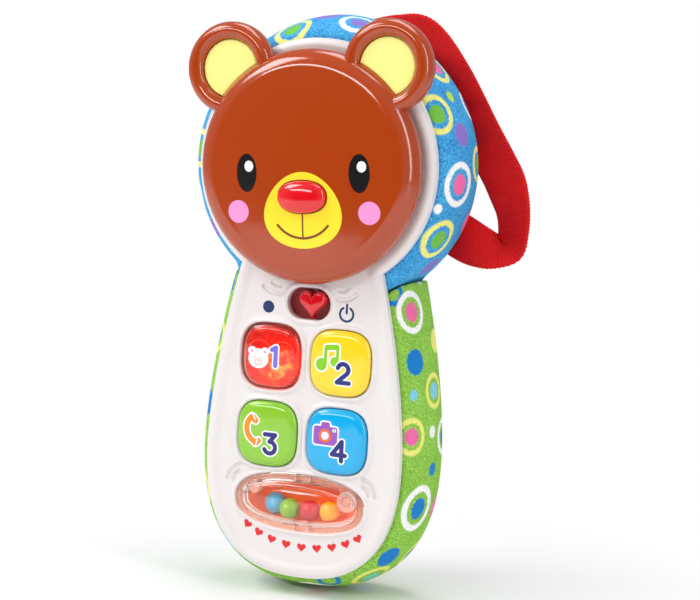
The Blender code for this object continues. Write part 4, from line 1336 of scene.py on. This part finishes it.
def round_shoulders(cover):
    """Draws the outer ends of the body cover's upper edge in, where it is sewn under the head."""
    for vertex in cover.data.vertices:
        x, z = vertex.co.x / MM, vertex.co.z / MM
        near = min(max((z - HEAD_Z - SEAM_LEVEL + SHOULDER) / SHOULDER, 0.0), 1.0)
        outside = min(max((abs(x) - SHOULDER_FROM) / 5.0, 0.0), 1.0)
        vertex.co.x -= math.copysign(outside * SHOULDER_DRAW * (1 - math.sqrt(1 - near**2)), x) * MM


# ---- dots of the fabrics ----

DOT_TONES = {
    "pink": srgb(240, 110, 170),
    "white": srgb(250, 250, 250),
    "yellow": srgb(240, 238, 130),
    "green": srgb(115, 190, 70),
    "lime": srgb(190, 225, 70),
    "purple": srgb(140, 115, 200),
    "blue": srgb(25, 125, 205),
    "pale": srgb(130, 205, 235),
    "turquoise": srgb(120, 215, 195),
    "coral": srgb(225, 90, 90),
}
HEAD_EDGE_DOTS = (
    # degrees round the head, depth behind the white face, radius, colours
    (107, 6.5, 6.6, "yellow green"), (95, 15.0, 5.0, "purple"), (80, 10.5, 6.4, "white purple"),
    (46, 17.5, 6.6, "yellow pink"), (32, 14.2, 2.0, "lime"), (26, 4.2, 6.8, "yellow green"),
    (16, 13.2, 4.0, "purple"), (-4, 10.5, 7.4, "white pink"), (-15, 3.2, 1.7, "white"),
    (-28, 9.0, 7.2, "yellow green"), (-42, 17.5, 4.4, "purple"), (4, 25.0, 6.0, "yellow green"),
    (-20, 25.0, 4.0, "pink"), (64, 25.0, 4.4, "green"), (28, 27.0, 5.4, "white purple"),
    (84, 27.0, 6.0, "yellow pink"), (110, 24.0, 3.4, "lime"), (128, 11.0, 4.0, "purple"),
    (134, 26.0, 6.2, "white pink"), (150, 8.0, 6.2, "white pink"), (160, 22.0, 2.4, "lime"),
    (176, 4.5, 6.4, "yellow green"), (178, 19.0, 4.4, "purple"), (196, 11.0, 6.6, "white purple"),
    (210, 22.0, 5.6, "yellow pink"), (212, 5.0, 3.4, "purple"),
)
HEAD_BACK_DOTS = (
    # x, z from the head's centre, radius, colours
    (0, 34, 6.4, "white pink"), (-17, 28, 3.4, "purple"), (19, 27, 5.6, "yellow green"),
    (33, 12, 3.2, "lime"), (-33, 14, 6.2, "yellow pink"), (-31, -5, 3.0, "white"),
    (31, -8, 5.8, "white purple"), (-29, -22, 4.2, "purple"), (3, 15, 7.0, "yellow green"),
    (-14, 3, 3.4, "pink"), (-15, 20, 2.6, "lime"), (15, -2, 4.0, "purple"), (-6, -13, 6.4, "white pink"),
    (13, -19, 2.8, "white"),
)
BODY_EDGE_DOTS = {
    # by side: place along the side, depth behind the white face, radius, colours
    1: (
        (0.13, 3.0, 4.4, "blue ground"), (0.178, 9.6, 7.0, "white pink"), (0.112, 18.6, 2.0, "white"),
        (0.285, 8.3, 4.3, "blue"), (0.355, 6.2, 1.9, "pale"), (0.355, 18.5, 6.0, "yellow pale"),
        (0.444, 4.6, 6.2, "yellow pink"), (0.442, 15.7, 2.1, "white"), (0.514, 16.4, 2.3, "blue"),
        (0.591, 10.7, 8.0, "white blue"), (0.737, 7.4, 4.4, "blue"), (0.83, 11.0, 7.0, "yellow turquoise"),
        (0.93, 3.2, 4.2, "blue ground"), (0.985, 11.0, 6.6, "white coral"), (0.25, 24.0, 4.0, "yellow"),
        (0.46, 26.0, 6.2, "white blue"), (0.60, 25.0, 4.0, "pink"), (0.74, 23.0, 5.6, "yellow blue"),
        (0.90, 24.0, 4.0, "pale"),
    ),
    -1: (
        (0.15, 8.0, 4.4, "blue"), (0.20, 20.0, 6.4, "white pink"), (0.27, 7.0, 5.6, "yellow blue"),
        (0.36, 15.0, 3.0, "white"), (0.42, 6.0, 4.6, "blue"), (0.47, 20.0, 6.6, "white pink"),
        (0.60, 9.0, 6.6, "yellow blue"), (0.70, 21.0, 3.6, "blue"), (0.76, 7.0, 4.4, "pale"),
        (0.88, 15.0, 6.0, "white blue"),
    ),
}
BODY_BACK_DOTS = (
    # as for the head
    (29, -48, 5.2, "white pink"), (28.5, -78, 4.0, "blue"), (26, -108, 5.6, "yellow blue"),
    (-28, -60, 5.4, "yellow pale"), (-28.5, -92, 3.4, "white"), (-20, -122, 5.6, "white blue"),
    (4, -128, 3.6, "pink"),
)


def bands(words):
    """One colour is a plain dot, two a ring with a dot in it, and a ground is a hole in the dot."""
    outer, *inner = words.split()
    if not inner:
        return ((1.0, DOT_TONES[outer]),)
    if inner == ["ground"]:
        return ((1.0, DOT_TONES[outer]), (0.62, None))
    return ((1.0, DOT_TONES[outer]), (0.72, None), (0.47, DOT_TONES[inner[0]]))


def cover_offset(y):
    """How far the padding's surface stands outside the phone's outline."""
    outer = [s for s in COVER_STATIONS if s[0] > -1.0 or s[1] > -1.8][::-1]
    return float(np.interp(y, [s[1] for s in outer], [s[0] + 0.6 for s in outer]))


def back_dots(rows, y):
    return [((x, y, HEAD_Z + z), radius, bands(words)) for x, z, radius, words in rows]


def head_dots():
    made = []
    for degrees, depth, radius, words in HEAD_EDGE_DOTS:
        y = FACE_Y + depth
        x, z = polar(HEAD_R + cover_offset(y), degrees, HEAD)
        made.append(((x, y, z), radius, bands(words)))
    return made + back_dots(HEAD_BACK_DOTS, -1.0)


def body_dots():
    made = []
    for side, rows in BODY_EDGE_DOTS.items():
        for t, depth, radius, words in rows:
            y = FACE_Y + depth
            x, z = body_side(t, cover_offset(y))
            made.append(((side * x, y, HEAD_Z + z), radius, bands(words)))
    return made + back_dots(BODY_BACK_DOTS, -1.5)


# ---- strap ----

STRAP_STATIONS = (
    # centre x, y, z from the head's centre at the back plane; direction across the webbing
    ((6.0, -3.8, 41.0), (0.05, 0.00, 1.00)),
    ((14.5, -4.8, 42.6), (0.25, -0.05, 0.95)),
    ((23.4, -5.6, 42.0), (0.52, -0.10, 0.80)),
    ((33.4, -5.6, 30.5), (0.76, -0.10, 0.58)),
    ((44.6, -5.6, 12.5), (0.90, -0.12, 0.38)),
    ((50.8, -5.8, 3.0), (0.96, -0.14, 0.20)),
    ((54.5, -6.4, -3.0), (0.97, -0.20, 0.02)),
    ((57.8, -8.0, -10.5), (0.90, -0.42, 0.06)),
    ((58.8, -9.0, -18.0), (0.84, -0.53, 0.05)),
    ((57.6, -9.2, -23.5), (0.80, -0.56, -0.20)),
    ((52.8, -9.8, -25.0), (0.50, -0.62, -0.60)),
    ((46.0, -9.2, -23.2), (0.15, -0.45, -0.88)),
    ((38.5, -8.0, -19.8), (0.00, -0.20, -0.98)),
)
RIB_PITCH = 0.8


def spline_point(values, t):
    """Catmull-Rom through the listed vectors; t runs from 0 to 1."""
    last = len(values) - 1
    place = min(max(t, 0.0), 1.0) * last
    k = min(int(place), last - 1)
    u = place - k
    a, b, c, d = (Vector(values[min(max(k + i, 0), last)]) for i in (-1, 0, 1, 2))
    return 0.5 * (2 * b + (c - a) * u + (2 * a - 5 * b + 4 * c - d) * u * u + (3 * b - a - 3 * c + d) * u**3)


def strap_sweep(width, thickness, steps, ribs=False):
    """Rings along the strap's path; ribs gives the woven cross ribs and the scalloped edges."""
    centres, across = zip(*STRAP_STATIONS)
    rings = []
    travelled, before = 0.0, None
    for i in range(steps + 1):
        t = i / steps
        centre = spline_point(centres, t) + Vector((0.0, 0.0, HEAD_Z))
        travelled += (centre - before).length if before else 0.0
        before = centre
        along = spline_point(centres, min(1, t + 0.01)) - spline_point(centres, max(0, t - 0.01))
        wide = spline_point(across, t)
        wide = (wide - wide.project(along)).normalized()
        normal = along.cross(wide).normalized()
        section = rounded_box(width, thickness, 0.3, 8)
        if ribs:
            valley = 0.5 - 0.5 * math.cos(2 * math.pi * travelled / RIB_PITCH)
            section = superellipse(width / 2 - 0.16 * valley, thickness / 2 - 0.1 * valley, 7.0, 40)
        rings.append([tuple(centre + wide * x + normal * z) for x, z in section])
    return rings


def make_strap():
    build = Build().loft(strap_sweep(14.9, 1.5, 1400, ribs=True))
    build.piece("webbing_loop", "webbing", "root", "strap_loop", "webbing_red", 60)


# ---- back ----


def panel(size, corner, place, count, edge, insets, holes, rings, spacing):
    """A flat panel with holes and a rounded back edge, as points, faces and the y of its back."""

    def outline(inset, count):
        return rounded_box(size[0] - 2 * inset, size[1] - 2 * inset, corner - inset, count) + xz(place)

    rim = outline(0.0, count[0])
    rings = [outline(inset, count[1]) for inset in insets] + rings
    flat, faces = triangulate(rim, holes, rings, spacing)
    return flat, faces, edge * (rounded(-outline_gap(*flat.T, rim), edge) - 1)


def make_back_plate():
    opening = lambda grow, count: rounded_box(30.7 + 2 * grow, 50.7 + 2 * grow, 3.3 + grow, count) + xz(DOOR)
    holes = [circle(0.9, 20, xz(SPEAKER))]
    for count, radius in ((6, 3.3), (10, 6.6)):
        holes += [circle(0.9, 20, place) for place in circle(radius, count, xz(SPEAKER))]
    holes += [circle(2.9, 40, xz(middle(f"plate_screw_{i}"))) for i in range(1, 5)]
    holes.append(opening(0.0, 160))
    rings = [opening(grow, 150) for grow in (0.15, 0.35, 0.6)]
    insets = (0.15, 0.35, 0.6, 0.9, 1.3)
    flat, faces, back = panel(BACK_SIZE, BACK_ROUND, BACK, (260, 240), 1.0, insets, holes, rings, 2.2)
    back = back + 0.3 * (rounded(outline_gap(*flat.T, holes[-1]), 0.4) - 1)
    build = Build().slab(flat, faces, -5.7, back)
    build.piece("back_cover", "back", "root", "back_plate", "back_white")


def make_door():
    seat = circle(2.7, 40, xz(middle("door_screw")))
    levels = [DOOR.z + 2.2 * i - 17.0 for i in range(4)]
    along = np.linspace(-6.6, 6.6, 34)
    rings = [np.stack([along, np.full(34, z + w)], 1) for z in levels for w in (-0.6, -0.3, 0.0, 0.3, 0.6)]
    flat, faces, back = panel((30.0, 50.0), 3.0, DOOR, (170, 160), 0.4, (0.15, 0.3, 0.5), [seat], rings, 2.0)
    for z in levels:
        back = back - 0.45 * dent(path_gap(*flat.T, ((-6.0, z), (6.0, z))), 0.6, 0.6)
    build = Build().slab(flat, faces, -1.8, back)
    build.piece("battery_hatch", "back", "door", "battery_door", "back_white")


# ---- CAD nodes that stay ----

NODE_LOOKS = {
    "shell": "rear_shell mirror_backing",
    "foam": "foam_pad",
    "mirror": "mirror",
    "black": "cover_shoe_left cover_shoe_right switch_lever speaker",
    "steel": "slide_switch cover_screw_left cover_screw_right door_screw battery_contact_left"
    " battery_contact_right shell_screw_1 shell_screw_2 shell_screw_3 shell_screw_4 plate_screw_1"
    " plate_screw_2 plate_screw_3 plate_screw_4",
    "rubber": "keypad",
    "board": "circuit_board",
    "led": "led",
    "battery": "battery_left battery_right",
    "spring": "battery_spring_left battery_spring_right",
}


def dress_nodes():
    for look, nodes in NODE_LOOKS.items():
        for node in nodes.split():
            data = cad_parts[node].data
            data.materials.clear()
            data.materials.append(M[look])


# ---- stage, lights and camera ----

FLOOR_DROP = 0.4
AMBIENT = 0.40
FACING = (-0.14, -1.0, 0.0)
PHONE_MIDDLE = (0.0, -20.0, 10.0)
LIGHTS = {
    # place, width and height, power
    "key_left": ((-560.0, -420.0, 620.0), (380.0, 380.0), 4.0),
    "strip_right": ((600.0, -300.0, 260.0), (120.0, 620.0), 1.6),
    "front": ((-300.0, -870.0, 370.0), (560.0, 90.0), 2.4),
    "top": ((60.0, 60.0, 800.0), (700.0, 300.0), 2.9),
}


def make_paper():
    """White paper that takes the phone's shadow and fades into the white studio away from it."""
    mat = plastic("paper", srgb(246, 246, 247), 0.9, 0.0, 0.1, 0.005)
    tree = mat.node_tree
    place = add(tree, "TexCoord").outputs["Object"]
    away = distance(tree, place, (0.0, -10.0, CAD_BOX[0][2] / MM))
    seen = add(tree, "LightPath").outputs["Is Camera Ray"]
    fade = maths(tree, "MULTIPLY", remap(tree, away, 0.0, 1.0, 0.05, 0.15), seen)
    with_shader(tree, fade, add(tree, "Emission", {"Strength": 1.0}))
    return mat


def make_stage():
    """A pale table top under the phone, wider behind than in front."""
    top = CAD_BOX[0][2] / MM - FLOOR_DROP
    corners = ((-2500.0, -700.0), (2500.0, -700.0), (2500.0, 3000.0), (-2500.0, 3000.0))
    obj = Build().loft([[(x, y, z) for x, y in corners] for z in (top, top - 20.0)]).mesh("table_top", 60)
    obj.data.materials.append(make_paper())


def make_lights():
    for name, (place, size, power) in LIGHTS.items():
        data = bpy.data.lights.new(name, "AREA")
        data.shape = "RECTANGLE"
        data.size, data.size_y = size[0] * MM, size[1] * MM
        data.energy = power
        obj = linked(name, data)
        obj.location = Vector(place) * MM
        obj.rotation_euler = (Vector(PHONE_MIDDLE) * MM - obj.location).to_track_quat("-Z", "Y").to_euler()


def make_world():
    """White studio, dark only round the direction that the flat front mirrors towards the camera."""
    world = bpy.data.worlds.new("studio")
    bpy.context.scene.world = world
    world.use_nodes = True
    tree = world.node_tree
    inputs = {0: add(tree, "TexCoord").outputs["Generated"], 1: Vector(FACING).normalized()}
    along = add(tree, "VectorMath", inputs, operation="DOT_PRODUCT").outputs["Value"]
    seen = add(tree, "LightPath").outputs["Is Camera Ray"]
    glow = remap(tree, along, AMBIENT, 0.03, 0.72, 0.97)
    strength = add(tree, "Mix", {0: seen, 2: glow, 3: 1.0}).outputs[0]
    fill(tree, tree.nodes["Background"], {"Color": (1.0, 1.0, 1.0, 1.0), "Strength": strength})


def make_camera():
    """The photograph's view: 22 degrees right of the front and 6 degrees above it, slightly rolled."""
    azimuth, elevation, roll = math.radians(21.76), math.radians(6.44), math.radians(2.97)
    level = math.cos(elevation)
    back = Vector((math.sin(azimuth) * level, -math.cos(azimuth) * level, math.sin(elevation)))
    right = Vector((0.0, 0.0, 1.0)).cross(back).normalized()
    up = back.cross(right)
    c, s = math.cos(roll), math.sin(roll)
    data = bpy.data.cameras.new("camera")
    data.lens = 110.1
    data.sensor_width = 36.0
    data.clip_start = 0.01
    obj = linked("camera", data)
    target = Vector((14.1, FACE_Y, HEAD_Z - 41.9))
    turn = Matrix((right * c + up * s, up * c - right * s, back)).transposed().to_4x4()
    obj.matrix_world = Matrix.Translation((target + back * 685.0) * MM) @ turn
    bpy.context.scene.camera = obj


M = make_materials()
make_front_housing()
make_bear_face()
make_ear_inserts()
make_nose()
print_face()
make_heart()
make_keys()
print_keys()
print_front()
make_rattle()
make_beads()
make_covers()
make_strap()
make_back_plate()
make_door()
dress_nodes()
make_stage()
make_world()
make_lights()
make_camera()
bpy.context.scene.view_settings.view_transform = "Standard"
